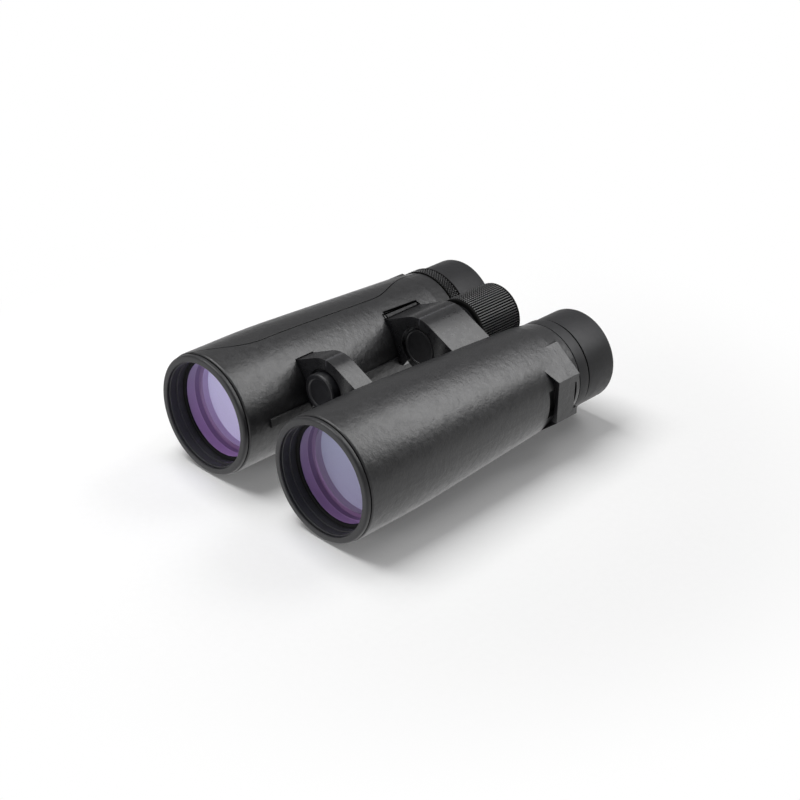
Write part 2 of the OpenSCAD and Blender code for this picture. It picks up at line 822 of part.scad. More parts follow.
// An arm: own half of the hood and face, own knuckle, room for the other arm's knuckle
module arm_shape(from, to, hub, bore, own, other) {
    difference() {
        union() {
            across_hinge(from, to) arm_profile(0);
            on_hinge() rod(hub, own[0], own[1]);
        }
        on_hinge() {
            rod(hub + line_gap, other[0], other[1]);
            rod(face_hole_r, from - 1, from + face_t + line_gap);
            rod(bore, from, to + 1);
        }
        on_barrel() barrel_solid(fit / 2 - armour_t, rim_len, armour_end);
        children();
    }
}

module left_front_arm_shape() {
    arm_shape(front_station, front_end, front_hub_r, axle_r + fit,
        [front_split + split_half, front_end], [front_face_end, front_split + split_half]);
}

module right_front_arm_shape() {
    arm_shape(front_station, front_end, front_hub_r, axle_r + run,
        [front_face_end + line_gap, front_split - split_half], [front_split - split_half, front_end + 1]);
}

module left_rear_arm_shape() {
    arm_shape(rear_station, rear_end, rear_hub_r, sleeve_r + fit,
        [rear_split + split_half, rear_end], [rear_face_end, rear_split + split_half])
        on_barrel() finger_slot_cut(left_finger, prism_bore_r, arm_span);
}

module right_rear_arm_shape() {
    arm_shape(rear_station, rear_end, rear_hub_r, sleeve_r + run,
        [rear_face_end + line_gap, rear_split - split_half], [rear_split - split_half, rear_end + 1])
        on_barrel() finger_slot_cut(right_finger, prism_bore_r, arm_span);
}

module front_axle_shape() {
    on_hinge() rod(axle_r, front_face_end + line_gap, front_end);
}

module front_hinge_cap_shape() {
    start = front_station - cap_out;
    edge = 0.6;
    ring_w = 1;
    dish = 0.5;
    on_hinge() rotate_extrude() polygon([
        [0, start + dish], [cap_r - ring_w - 2 * edge, start + dish], [cap_r - ring_w - edge, start],
        [cap_r - edge, start], [cap_r, start + edge], [cap_r, front_face_end + fit],
        [0, front_face_end + fit]
    ]);
}

// Cuts a window between two angles, measured from the left barrel's side upwards
module window(from_angle, to_angle, station) {
    reach = 3 * sleeve_r;
    mid = (from_angle + to_angle) / 2;
    across_hinge(station - finger_slot / 2, station + finger_slot / 2)
        polygon([[0, 0], for (a = [from_angle, mid, to_angle]) reach * [cos(a), sin(a)]]);
}

module rear_hinge_sleeve_shape() {
    side = asin(slot_side / sleeve_in_r) + 1;
    left_at = -arm_angle;
    right_at = 180 + arm_angle;
    difference() {
        on_hinge() ring(sleeve_in_r, sleeve_r, sleeve_start, sleeve_end);
        window(left_at - side, left_at + side, left_finger);
        window(right_at - side, right_at + fold_range + side, right_finger);
    }
}

module rear_hinge_disc_shape() {
    start = rear_station + disc_in;
    edge = 0.4;
    on_hinge() rotate_extrude() polygon([
        [0, start], [cap_r - edge, start], [cap_r, start + edge], [cap_r, sleeve_start - fit],
        [sleeve_in_r - fit, sleeve_start - fit], [sleeve_in_r - fit, plug_end], [0, plug_end]
    ]);
}

// ---- Focus drive ----

module shaft_bearing_shape() {
    on_hinge() ring(shaft_r + run, sleeve_in_r - fit, bearing_start, sleeve_end);
}

module focus_carriage_shape() {
    on_hinge() difference() {
        rod(carriage_r, carriage_start, carriage_end);
        rod(shaft_r + run, carriage_start - 1, carriage_end + 1);
        for (s = [right_finger, left_finger])
            ring(groove_r, carriage_r + 1, s - groove_w / 2, s + groove_w / 2);
    }
}

module focus_shaft_shape() {
    on_hinge() rod(shaft_r, sleeve_start + shaft_in, wheel_end - wheel_cap_t - wheel_cap_gap);
}

module focus_wheel_core_shape() {
    on_hinge() ring(shaft_r + fit, wheel_core_r, wheel_station + wheel_core_in, wheel_end - wheel_cap_t);
}

module focus_wheel_grip_shape() {
    inner = grip_in_r;
    bevel = 0.8;
    plain_r = wheel_r - rim_drop;
    on_hinge() {
        translate([0, 0, wheel_station + grip_rim]) linear_extrude(wheel_len - 2 * grip_rim)
            difference() {
                ribbed_outline(wheel_r, grip_ribs, grip_groove_t);
                circle(r = inner);
            }
        rotate_extrude() polygon([
            [inner, wheel_station], [plain_r - bevel, wheel_station],
            [plain_r, wheel_station + bevel], [plain_r, wheel_station + grip_rim],
            [inner, wheel_station + grip_rim]
        ]);
        rotate_extrude() polygon([
            [inner, wheel_end], [plain_r - bevel, wheel_end],
            [plain_r, wheel_end - bevel], [plain_r, wheel_end - grip_rim],
            [inner, wheel_end - grip_rim]
        ]);
    }
}

module focus_wheel_cap_shape() {
    edge = 0.6;
    slant = 0.8;
    start = wheel_end - wheel_cap_t + fit;
    on_hinge() rotate_extrude() polygon([
        [0, start], [wheel_core_r - fit, start], [wheel_core_r - fit, wheel_end - edge],
        [wheel_core_r - slant, wheel_end], [0, wheel_end]
    ]);
}

// ---- Nodes ----

module right_side() { mirror([1, 0, 0]) children(); }

rubber = "#29292b";
black_metal = "#1f1f21";
satin_black = "#343437";
steel = "#8f9296";
brass = "#b5974f";
coated_glass = "#8d78b8";
clear_glass = "#c9d6dc";

module left_housing() color(black_metal) housing_shape(left_finger);
module left_armour() color(rubber) armour_shape();
module left_objective_rim() color("#3a3a3c") objective_rim_shape();
module left_objective_cell() color(black_metal) objective_cell_shape();
module left_objective_retainer() color(black_metal) objective_retainer_shape();
module left_objective_crown() color(coated_glass) objective_crown_shape();
module left_objective_flint() color(clear_glass) objective_flint_shape();
module left_focus_cell() color(black_metal) focus_cell_shape(left_finger);
module left_focus_lens() color(clear_glass) focus_lens_shape();
module left_prism_holder() color(black_metal) prism_holder_shape();
module left_roof_prism() color(clear_glass) roof_prism_shape();
module left_half_penta_prism() color(clear_glass) half_penta_prism_shape();
module left_ocular_tube() color(black_metal) ocular_tube_shape();
module left_ocular_cell() color(black_metal) ocular_cell_shape();
module left_field_lens() color(clear_glass) field_lens_shape();
module left_eye_lens() color(clear_glass) eye_lens_shape();
module left_eyepiece_ring() color(rubber) eyepiece_ring_shape();
module left_eyecup_guide() color(black_metal) eyecup_guide_shape();
module left_eyecup_core() color(black_metal) eyecup_core_shape();
module left_eyecup_rubber() color(rubber) eyecup_rubber_shape();
module left_front_arm() color(satin_black) left_front_arm_shape();
module left_rear_arm() color(satin_black) left_rear_arm_shape();

module right_housing() color(black_metal) right_side() housing_shape(right_finger);
module right_armour() color(rubber) right_side() difference() {
    armour_shape();
    panel_line_cut();
}
module right_objective_rim() color("#3a3a3c") right_side() objective_rim_shape();
module right_objective_cell() color(black_metal) right_side() objective_cell_shape();
module right_objective_retainer() color(black_metal) right_side() objective_retainer_shape();
module right_objective_crown() color(coated_glass) right_side() objective_crown_shape();
module right_objective_flint() color(clear_glass) right_side() objective_flint_shape();
module right_focus_cell() color(black_metal) right_side() focus_cell_shape(right_finger);
module right_focus_lens() color(clear_glass) right_side() focus_lens_shape();
module right_prism_holder() color(black_metal) right_side() prism_holder_shape();
module right_roof_prism() color(clear_glass) right_side() roof_prism_shape();
module right_half_penta_prism() color(clear_glass) right_side() half_penta_prism_shape();
module right_ocular_tube() color(black_metal) right_side() ocular_tube_shape();
module right_ocular_cell() color(black_metal) right_side() ocular_cell_shape();
module right_field_lens() color(clear_glass) right_side() field_lens_shape();
module right_eye_lens() color(clear_glass) right_side() eye_lens_shape();
module right_dioptre_ring() color(rubber) right_side() dioptre_ring_shape();
module right_eyecup_guide() color(black_metal) right_side() eyecup_guide_shape();
module right_eyecup_core() color(black_metal) right_side() eyecup_core_shape();
module right_eyecup_rubber() color(rubber) right_side() eyecup_rubber_shape();
module right_front_arm() color(satin_black) right_side() right_front_arm_shape();
module right_rear_arm() color(satin_black) right_side() right_rear_arm_shape();

module front_axle() color(steel) front_axle_shape();
module front_hinge_cap() color(rubber) front_hinge_cap_shape();
module rear_hinge_sleeve() color(steel) rear_hinge_sleeve_shape();
module rear_hinge_disc() color(black_metal) rear_hinge_disc_shape();
module shaft_bearing() color(brass) shaft_bearing_shape();
module focus_carriage() color(brass) focus_carriage_shape();
module focus_shaft() color(steel) focus_shaft_shape();
module focus_wheel_core() color(black_metal) focus_wheel_core_shape();
module focus_wheel_grip() color(rubber) focus_wheel_grip_shape();
module focus_wheel_cap() color(black_metal) focus_wheel_cap_shape();

left_housing();
left_armour();
left_objective_rim();
left_objective_cell();
left_objective_retainer();
left_objective_crown();
left_objective_flint();
left_focus_cell();
left_focus_lens();
left_prism_holder();
left_roof_prism();
left_half_penta_prism();
left_ocular_tube();
left_ocular_cell();
left_field_lens();
left_eye_lens();
left_eyepiece_ring();
left_eyecup_guide();
left_eyecup_core();
left_eyecup_rubber();
left_front_arm();
left_rear_arm();
right_housing();
right_armour();
right_objective_rim();
right_objective_cell();
right_objective_retainer();
right_objective_crown();
right_objective_flint();
right_focus_cell();
right_focus_lens();
right_prism_holder();
right_roof_prism();
right_half_penta_prism();
right_ocular_tube();
right_ocular_cell();
right_field_lens();
right_eye_lens();
right_dioptre_ring();
right_eyecup_guide();
right_eyecup_core();
right_eyecup_rubber();
right_front_arm();
right_rear_arm();
front_axle();
front_hinge_cap();
rear_hinge_sleeve();
rear_hinge_disc();
shaft_bearing();
focus_carriage();
focus_shaft();
focus_wheel_core();
focus_wheel_grip();
focus_wheel_cap();
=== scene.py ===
"""Dresses the roof-prism binoculars in grained rubber, bridge enamel, knurled rings and coated glass."""

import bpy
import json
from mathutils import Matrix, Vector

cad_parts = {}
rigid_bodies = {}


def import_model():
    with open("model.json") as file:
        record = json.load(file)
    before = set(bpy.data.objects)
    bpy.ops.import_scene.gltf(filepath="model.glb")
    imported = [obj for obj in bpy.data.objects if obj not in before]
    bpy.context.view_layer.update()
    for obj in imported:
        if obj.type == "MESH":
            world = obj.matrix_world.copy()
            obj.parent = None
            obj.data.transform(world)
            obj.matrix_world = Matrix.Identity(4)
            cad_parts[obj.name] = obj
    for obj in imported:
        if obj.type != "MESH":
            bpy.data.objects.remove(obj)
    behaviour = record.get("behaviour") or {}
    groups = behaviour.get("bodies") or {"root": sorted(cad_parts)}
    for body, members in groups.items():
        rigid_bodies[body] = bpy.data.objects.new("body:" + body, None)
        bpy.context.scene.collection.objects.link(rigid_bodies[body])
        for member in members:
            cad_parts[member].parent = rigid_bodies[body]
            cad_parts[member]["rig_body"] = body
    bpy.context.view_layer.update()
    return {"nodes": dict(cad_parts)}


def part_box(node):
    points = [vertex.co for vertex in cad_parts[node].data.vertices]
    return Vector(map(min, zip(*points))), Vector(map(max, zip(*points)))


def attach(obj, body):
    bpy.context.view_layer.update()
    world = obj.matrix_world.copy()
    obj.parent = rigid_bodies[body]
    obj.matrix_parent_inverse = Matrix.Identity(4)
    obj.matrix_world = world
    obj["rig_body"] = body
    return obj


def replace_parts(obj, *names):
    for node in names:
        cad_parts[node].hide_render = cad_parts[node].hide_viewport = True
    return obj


bl_info = {
    "name": "Binocular dressing",
    "version": (1, 0, 0),
    "blender": (4, 5, 0),
    "location": "3D View > Sidebar > Binoculars",
    "description": "Finishes, turned rings, ribbed grips and coated glass for a pair of binoculars",
    "category": "Object",
}

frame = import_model()

import json
import math

import bmesh
import bpy
from mathutils import Matrix, Vector

MM = 0.001
SIDES = ("left", "right")
WHITE = (1, 1, 1, 1)

TURNS = 144  # facets round a turned piece
GRIP_TURNS = 216  # facets round the foot of the wheel's ribs
KNURL_TURNS = 180  # facets round the foot of the knurl
ARC_STEPS = 5  # facets in a rounded corner
CROWN_STEPS = 28  # facets from the middle to the edge of the front lens
HOLLOW_STEPS = 24  # facets from the middle to the edge of the inner lens
SHARP_ANGLE = math.radians(32)  # an edge that turns by more than this is shaded sharp
ON_AXIS = 1e-9  # a point nearer than this to the axis lies on it

# The shallow bars beside the rear bridge: their middle and half size across and along the barrels
SLOT_MIDDLE = (21.4 * MM, 24.6 * MM)
SLOT_HALF = (2.1 * MM, 10.3 * MM)
SLOT_FOOT = 40 * MM  # they lie above this height

SEAM_ASIDE = 0.4 * MM  # place of the bridges' seam across the hinge
FLANK_MIDDLE = 7.0 * MM  # middle of a bridge's flank, from the hinge
FLANK_CROWN = -16.0  # gives a slope of 0.2 at 6 mm from that middle

PAPER_RADIUS = 1.6
SHADOW_REACH = (0.13, 0.24)  # from the first radius to the second the paper fades to plain white

# Place, direction of each side, length of each side, power, and whether matt and glossy surfaces see it
SOFTBOXES = {
    "Highlight": ((0.067, 0.115, 0.224), (-0.583, 0, 0.812), (0, -1, 0), (0.27, 0.22), 0.88, (False, True)),
    "Main": ((-0.36, -0.10, 0.92), (1, 0, 0.39), (0, 1, 0.11), (0.6, 0.6), 7.6, (True, True)),
    "Rear": ((0.10, 0.70, 0.75), (1, 0, 0), (0, 0.73, -0.68), (0.6, 0.4), 1.9, (True, False)),
    "Fill": ((-0.05, -0.85, 0.10), (1, 0, 0), (0, 0.12, 0.99), (0.5, 0.12), 2.6, (True, False)),
    "Front": ((-0.35, -0.90, 0.25), (0.93, -0.36, 0), (0, 0.26, 0.97), (0.5, 0.5), 1.7, (False, True)),
}
ROOM_LIGHT = 0.22  # the world's strength as matt surfaces see it
WALL_LIGHT = 0.35  # the world's strength in mirror images

CAMERA_PLACE = (0.462168, -0.475821, 0.390995)
CAMERA_TURN = (44.064, 29.292, -1.166)  # azimuth, elevation and roll in degrees
FOCAL_LENGTH = 77.49
SENSOR_WIDTH = 36.0


# ---- Small tools ----


def linear(code):
    """An sRGB hex colour as linear red, green, blue and alpha."""
    parts = [int(code[i : i + 2], 16) / 255 for i in (1, 3, 5)]
    return [c / 12.92 if c <= 0.04045 else ((c + 0.055) / 1.055) ** 2.4 for c in parts] + [1.0]


def shade(colour, factor):
    """A colour made darker or lighter, its alpha kept."""
    return [min(c * factor, 1.0) for c in colour[:3]] + [1.0]


def sizes():
    return bpy.context.scene.binocular_sizes


def colours():
    return bpy.context.scene.binocular_colours


def add(tree, kind, given=None):
    """Adds a node. Each thing given is a property of it, a socket's value or an output to link there."""
    node = tree.nodes.new(kind)
    for key, value in (given or {}).items():
        if isinstance(key, str) and hasattr(node, key):
            setattr(node, key, value)
        elif isinstance(value, bpy.types.NodeSocket):
            tree.links.new(value, node.inputs[key])
        else:
            node.inputs[key].default_value = value
    return node


# ---- Finishes ----


def new_material(name):
    """A material, its emptied tree and the object's own coordinates in it."""
    material = bpy.data.materials.new(name)
    material.use_nodes = True
    tree = material.node_tree
    tree.nodes.clear()
    return material, tree, add(tree, "ShaderNodeTexCoord").outputs["Object"]


def lathe_marks(tree, place, pitch):
    """Rings of uneven depth left by a tool that was fed along y."""
    along = add(tree, "ShaderNodeSeparateXYZ", {0: place}).outputs["Y"]
    settings = {"noise_dimensions": "1D", "Scale": 1 / pitch, "Detail": 2.0, "W": along}
    return add(tree, "ShaderNodeTexNoise", settings).outputs["Fac"]


def painted_slot_shade(tree, place):
    """Painted shade of the shallow bars beside the rear bridge: 1 along their outline, a half on them, else
    0.
    """
    x, y, z = add(tree, "ShaderNodeSeparateXYZ", {0: place}).outputs
    aside = add(tree, "ShaderNodeMath", {"operation": "ABSOLUTE", 0: x}).outputs[0]
    beyond = []
    for along, middle, half in zip((aside, y), SLOT_MIDDLE, SLOT_HALF):
        shifted = add(tree, "ShaderNodeMath", {"operation": "SUBTRACT", 0: along, 1: middle})
        away = add(tree, "ShaderNodeMath", {"operation": "ABSOLUTE", 0: shifted.outputs[0]})
        past = add(tree, "ShaderNodeMath", {"operation": "SUBTRACT", 0: away.outputs[0], 1: half})
        beyond.append(past.outputs[0])
    border = add(tree, "ShaderNodeMath", {"operation": "MAXIMUM", 0: beyond[0], 1: beyond[1]}).outputs[0]
    within = {"From Min": 0.1 * MM, "From Max": -0.1 * MM, "To Max": 0.5, "Value": border}
    inside = add(tree, "ShaderNodeMapRange", within)
    close = add(tree, "ShaderNodeMath", {"operation": "ABSOLUTE", 0: border}).outputs[0]
    line = {"From Min": 0.6 * MM, "From Max": 0.35 * MM, "Value": close}
    outline = add(tree, "ShaderNodeMapRange", line)
    either = {"operation": "MAXIMUM", 0: inside.outputs[0], 1: outline.outputs[0]}
    slot_shade = add(tree, "ShaderNodeMath", either).outputs[0]
    upper = add(tree, "ShaderNodeMath", {"operation": "GREATER_THAN", 0: z, 1: SLOT_FOOT}).outputs[0]
    return add(tree, "ShaderNodeMath", {"operation": "MULTIPLY", 0: slot_shade, 1: upper}).outputs[0]


def moulded_rubber(name, colour, roughness, grain, depth, shine, slots=False):
    """Black rubber moulded in a grained tool: pebbles on a slightly wavy skin break the highlight into
    mottled sheen."""
    material, tree, place = new_material(name)
    edge = add(tree, "ShaderNodeBevel", {"samples": 4, "Radius": sizes().soft_edge}).outputs["Normal"]
    wavy = {"Scale": 1 / (5 * grain), "Detail": 5.0, "Roughness": 0.65, "Vector": place}
    skin = add(tree, "ShaderNodeTexNoise", wavy).outputs["Fac"]
    pebble = add(tree, "ShaderNodeTexVoronoi", {"feature": "SMOOTH_F1", "Scale": 1 / grain, "Vector": place})
    broad = {"Scale": 1 / (7 * MM), "Detail": 3.0, "Roughness": 0.6, "Vector": place}
    swell = add(tree, "ShaderNodeTexNoise", broad).outputs["Fac"]
    uneven = {"operation": "MULTIPLY_ADD", 0: swell, 1: 6.0, 2: pebble.outputs["Distance"]}
    coarse = add(tree, "ShaderNodeMath", uneven).outputs[0]
    height = add(tree, "ShaderNodeMath", {"operation": "MULTIPLY_ADD", 0: skin, 1: 7.0, 2: coarse}).outputs[0]
    relief = add(
        tree, "ShaderNodeBump", {"Strength": 1.0, "Distance": depth, "Height": height, "Normal": edge}
    )
    tones = {"data_type": "RGBA", 0: skin, 6: shade(colour, 0.8), 7: shade(colour, 1.25)}
    tone = add(tree, "ShaderNodeMix", tones).outputs[2]
    spread = {"To Min": roughness - 0.06, "To Max": roughness + 0.06}
    sheen = add(tree, "ShaderNodeMapRange", {"From Min": 0.3, "From Max": 0.7, **spread, "Value": skin})
    # Painted shade: where ambient occlusion finds crevices, their reflection is turned down so that they look
    # darker than the open skin.
    ao_crevice_shade = add(tree, "ShaderNodeAmbientOcclusion", {"samples": 8, "Distance": 2.0 * MM}).outputs["AO"]
    shines = {"To Min": 0.12 * shine, "To Max": shine}
    polish = add(
        tree, "ShaderNodeMapRange", {"From Min": 0.45, "From Max": 0.9, **shines, "Value": ao_crevice_shade}
    ).outputs[0]
    # Painted shade: in the groove round the bars the skin turns near black and loses its shine, and on the
    # bars half as much.
    if slots:
        slot_shade = painted_slot_shade(tree, place)
        bright = add(tree, "ShaderNodeMath", {"operation": "SUBTRACT", 0: 1.0, 1: slot_shade}).outputs[0]
        polish = add(tree, "ShaderNodeMath", {"operation": "MULTIPLY", 0: polish, 1: bright}).outputs[0]
        darker = {"data_type": "RGBA", 0: slot_shade, 6: tone, 7: shade(colour, 0.2)}
        tone = add(tree, "ShaderNodeMix", darker).outputs[2]
    shader = add(
        tree,
        "ShaderNodeBsdfPrincipled",
        {
            "IOR": 1.5,
            "Base Color": tone,
            "Roughness": sheen.outputs[0],
            "Specular IOR Level": polish,
            "Normal": relief.outputs[0],
        },
    )
    add(tree, "ShaderNodeOutputMaterial", {"Surface": shader.outputs[0]})
    return material


def armour_rubber():
    # The tool's grain is about 0.3 mm, too fine to show at this distance, so it is drawn at twice that.
    return moulded_rubber(
        "Grained armour rubber",
        colours().armour,
        0.38,
        grain=0.6 * MM,
        depth=0.03 * MM,
        shine=0.62,
        slots=True,
    )


def rim_rubber():
    return moulded_rubber(
        "Smooth rim rubber", colours().rim, 0.42, grain=0.7 * MM, depth=0.008 * MM, shine=0.4
    )


def eyecup_rubber():
    return moulded_rubber(
        "Satin eyecup rubber", colours().eyecup, 0.5, grain=0.7 * MM, depth=0.015 * MM, shine=0.32
    )


def grip_rubber():
    return moulded_rubber(
        "Ribbed grip rubber", colours().grip, 0.34, grain=0.7 * MM, depth=0.01 * MM, shine=0.7
    )


def painted_groove_shade():
    """Near-black rubber with little shine at the foot of ribs and knurls and in gaps: painted shade in these
    hollows.
    """
    return moulded_rubber(
        "Painted shade groove rubber", colours().groove, 0.8, grain=0.7 * MM, depth=0.01 * MM, shine=0.08
    )


def seam_line(tree, place):
    """1 on the narrow line along the top where the two bridges' halves meet, and 0 beside it."""
    x, _, z = add(tree, "ShaderNodeSeparateXYZ", {0: place}).outputs
    shifted = add(tree, "ShaderNodeMath", {"operation": "SUBTRACT", 0: x, 1: SEAM_ASIDE}).outputs[0]
    away = add(tree, "ShaderNodeMath", {"operation": "ABSOLUTE", 0: shifted}).outputs[0]
    narrow = {"From Min": 0.55 * MM, "From Max": 0.25 * MM, "Value": away}
    line = add(tree, "ShaderNodeMapRange", narrow).outputs[0]
    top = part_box("left_front_arm")[1].z
    upper = {"From Min": top - 3.5 * MM, "From Max": top - 2.5 * MM, "Value": z}
    crest = add(tree, "ShaderNodeMapRange", upper).outputs[0]
    return add(tree, "ShaderNodeMath", {"operation": "MULTIPLY", 0: line, 1: crest}).outputs[0]


def crowned_flank(tree, place):
    """Height in metres that rounds the bridges' flat flanks, steeper at the hinge and flatter at the foot."""
    x = add(tree, "ShaderNodeSeparateXYZ", {0: place}).outputs["X"]
    away = add(tree, "ShaderNodeMath", {"operation": "ABSOLUTE", 0: x}).outputs[0]
    side = add(tree, "ShaderNodeMath", {"operation": "SUBTRACT", 0: away, 1: FLANK_MIDDLE}).outputs[0]
    square = add(tree, "ShaderNodeMath", {"operation": "MULTIPLY", 0: side, 1: side}).outputs[0]
    return add(tree, "ShaderNodeMath", {"operation": "MULTIPLY", 0: square, 1: FLANK_CROWN}).outputs[0]


def painted_metal(name, colour, roughness, peel, depth, seam=False):
    """Black paint on die-cast alloy: a hard semi-gloss coat whose slight orange peel mottles the reflections.
    With seam, a lighter line along the top where the bridges' halves meet is a painted highlight on the seam."""
    material, tree, place = new_material(name)
    edge = add(tree, "ShaderNodeBevel", {"samples": 4, "Radius": sizes().soft_edge}).outputs["Normal"]
    patchy = {"Scale": 1 / (2.5 * MM), "Detail": 5.0, "Roughness": 0.7, "Vector": place}
    dust = add(tree, "ShaderNodeTexNoise", patchy).outputs["Fac"]
    skin = add(tree, "ShaderNodeTexNoise", {"Scale": 1 / peel, "Detail": 3.0, "Vector": place}).outputs["Fac"]
    ripple = {"Strength": 1.0, "Distance": depth, "Height": skin, "Normal": edge}
    relief = add(tree, "ShaderNodeBump", ripple).outputs["Normal"]
    tones = {"data_type": "RGBA", 0: dust, 6: shade(colour, 0.8), 7: shade(colour, 1.25)}
    tone = add(tree, "ShaderNodeMix", tones).outputs[2]
    if seam:
        crown = {"Strength": 1.0, "Distance": 1.0, "Height": crowned_flank(tree, place), "Normal": relief}
        relief = add(tree, "ShaderNodeBump", crown).outputs["Normal"]
        # Painted highlight: the seam line is painted five times lighter than the enamel.
        seam_highlight = {"data_type": "RGBA", 0: seam_line(tree, place), 6: tone, 7: shade(colour, 5.0)}
        tone = add(tree, "ShaderNodeMix", seam_highlight).outputs[2]
    spread = {"To Min": roughness - 0.08, "To Max": roughness + 0.08}
    gloss = add(tree, "ShaderNodeMapRange", {"From Min": 0.3, "From Max": 0.7, **spread, "Value": dust})
    shader = add(
        tree,
        "ShaderNodeBsdfPrincipled",
        {"IOR": 1.5, "Base Color": tone, "Roughness": gloss.outputs[0], "Normal": relief},
    )
    add(tree, "ShaderNodeOutputMaterial", {"Surface": shader.outputs[0]})
    return material


def bridge_enamel():
    return painted_metal(
        "Semi-gloss bridge enamel", colours().enamel, 0.31, peel=0.8 * MM, depth=0.04 * MM, seam=True
    )


def housing_paint():
    return painted_metal(
        "Matt paint on cast magnesium", colours().casting, 0.6, peel=0.9 * MM, depth=0.03 * MM
    )


def hinge_plastic():
    return painted_metal("Moulded black plastic", colours().plastic, 0.4, peel=0.7 * MM, depth=0.01 * MM)


def anodised(name, colour, shine):
    """Black anodised aluminium, turned: concentric tool marks catch a dull sheen."""
    material, tree, place = new_material(name)
    # The feed of the tool is about 0.1 mm and is drawn at 0.35 mm so that it shows.
    marks = lathe_marks(tree, place, 0.35 * MM)
    relief = add(tree, "ShaderNodeBump", {"Strength": 0.6, "Distance": 0.02 * MM, "Height": marks})
    sheen = add(tree, "ShaderNodeMapRange", {"To Min": 0.5, "To Max": 0.65, "Value": marks})
    shader = add(
        tree,
        "ShaderNodeBsdfPrincipled",
        {
            "Base Color": colour,
            "IOR": 1.6,
            "Specular IOR Level": shine,
            "Roughness": sheen.outputs[0],
            "Normal": relief.outputs[0],
        },
    )
    add(tree, "ShaderNodeOutputMaterial", {"Surface": shader.outputs[0]})
    return material


def black_anodising():
    return anodised("Satin black anodised aluminium", colours().anodising, 0.4)


def flat_anodising():
    return anodised("Flat black anodised aluminium", colours().flat_black, 0.15)


def turned_metal(name, dark, light):
    """Bare metal off the lathe: fine rings along the axis that stretch the highlight across them."""
    material, tree, place = new_material(name)
    rings = lathe_marks(tree, place, 0.3 * MM)
    relief = add(tree, "ShaderNodeBump", {"Strength": 0.5, "Distance": 0.02 * MM, "Height": rings})
    tones = {"data_type": "RGBA", 0: rings, 6: linear(dark), 7: linear(light)}
    tone = add(tree, "ShaderNodeMix", tones).outputs[2]
    shader = add(
        tree,
        "ShaderNodeBsdfPrincipled",
        {"Metallic": 1.0, "Roughness": 0.3, "Base Color": tone, "Normal": relief.outputs[0]},
    )
    add(tree, "ShaderNodeOutputMaterial", {"Surface": shader.outputs[0]})
    return material


def turned_steel():
    return turned_metal("Turned steel", "#8e8f92", "#b3b4b6")


def turned_brass():
    return turned_metal("Turned brass", "#a8894e", "#c9aa68")


def coated_glass(name, tint, share, metallic=1.0):
    """Polished glass under an anti-reflection coating: clear, with a coloured mirror image laid over it.
    Where metallic is below 1, the rest of the share is a matt layer of the tint, a painted sheen."""
    material, tree, place = new_material(name)
    # The coating's thickness drifts a little over the lens, which shifts the strength of its reflection.
    drift = add(tree, "ShaderNodeTexNoise", {"Scale": 1 / (14 * MM), "Detail": 1.0, "Vector": place})
    shares = {"To Min": share * 0.94, "To Max": share * 1.06, "Value": drift.outputs["Fac"]}
    cover = add(tree, "ShaderNodeMapRange", shares).outputs[0]
    clear = add(tree, "ShaderNodeBsdfTransparent").outputs[0]
    polish = {"Base Color": tint, "Metallic": metallic, "Roughness": 0.04}
    mirror = add(tree, "ShaderNodeBsdfPrincipled", polish).outputs[0]
    shader = add(tree, "ShaderNodeMixShader", {0: cover, 1: clear, 2: mirror})
    add(tree, "ShaderNodeOutputMaterial", {"Surface": shader.outputs[0]})
    return material


def violet_coating():
    return coated_glass("Violet-coated crown glass", colours().front_coating, 0.07)


def lavender_coating():
    # The matt share of this coating is painted sheen.
    return coated_glass("Lavender-coated flint glass", colours().middle_coating, 0.08, 0.4)


def lens_coating():
    return coated_glass("Blue-coated lens glass", linear("#a9b8d8"), 0.12)


def prism_glass():
    return coated_glass("Polished prism glass", linear("#cfd6e6"), 0.1)


def painted_lens_light(tree, place, part):
    """The part's colour at the bottom of the front lenses, which turns into its colour at their top: painted
    light from inside the lens.
    """
    low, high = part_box("left_objective_flint")
    z = add(tree, "ShaderNodeSeparateXYZ", {0: place}).outputs["Z"]
    rise = add(tree, "ShaderNodeMapRange", {"From Min": low.z, "From Max": high.z, "Value": z}).outputs[0]
    ends = {6: getattr(colours(), f"{part}_low"), 7: getattr(colours(), f"{part}_high")}
    return add(tree, "ShaderNodeMix", {"data_type": "RGBA", 0: rise, **ends}).outputs[2]


def ground_edge(name, part):
    """Fine-ground glass edge: a matt face painted with the light in the lens, bluer above and redder below.
    """
    material, tree, place = new_material(name)
    # The grit leaves pits of about 0.03 mm, which are drawn ten times as coarse so that they show.
    pits = add(tree, "ShaderNodeTexNoise", {"Scale": 1 / (0.3 * MM), "Detail": 3.0, "Vector": place})
    rough = {"Strength": 0.5, "Distance": 0.02 * MM, "Height": pits.outputs["Fac"]}
    relief = add(tree, "ShaderNodeBump", rough).outputs["Normal"]
    tone = painted_lens_light(tree, place, part)
    shader = add(
        tree,
        "ShaderNodeBsdfPrincipled",
        {"IOR": 1.5, "Roughness": 0.55, "Base Color": tone, "Normal": relief},
    )
    add(tree, "ShaderNodeOutputMaterial", {"Surface": shader.outputs[0]})
    return material


def crown_edge():
    return ground_edge("Ground crown edge", "crown")


def flint_edge():
    # The inked edge's violet tint is painted light and reflection from inside the lens.
    return ground_edge("Inked flint edge", "flint")


def lens_spacer(side):
    # The spacer's pale tint is painted light from inside the lens, paler in the right barrel.
    return ground_edge(f"Matt {side} lens spacer", f"{side}_spacer")


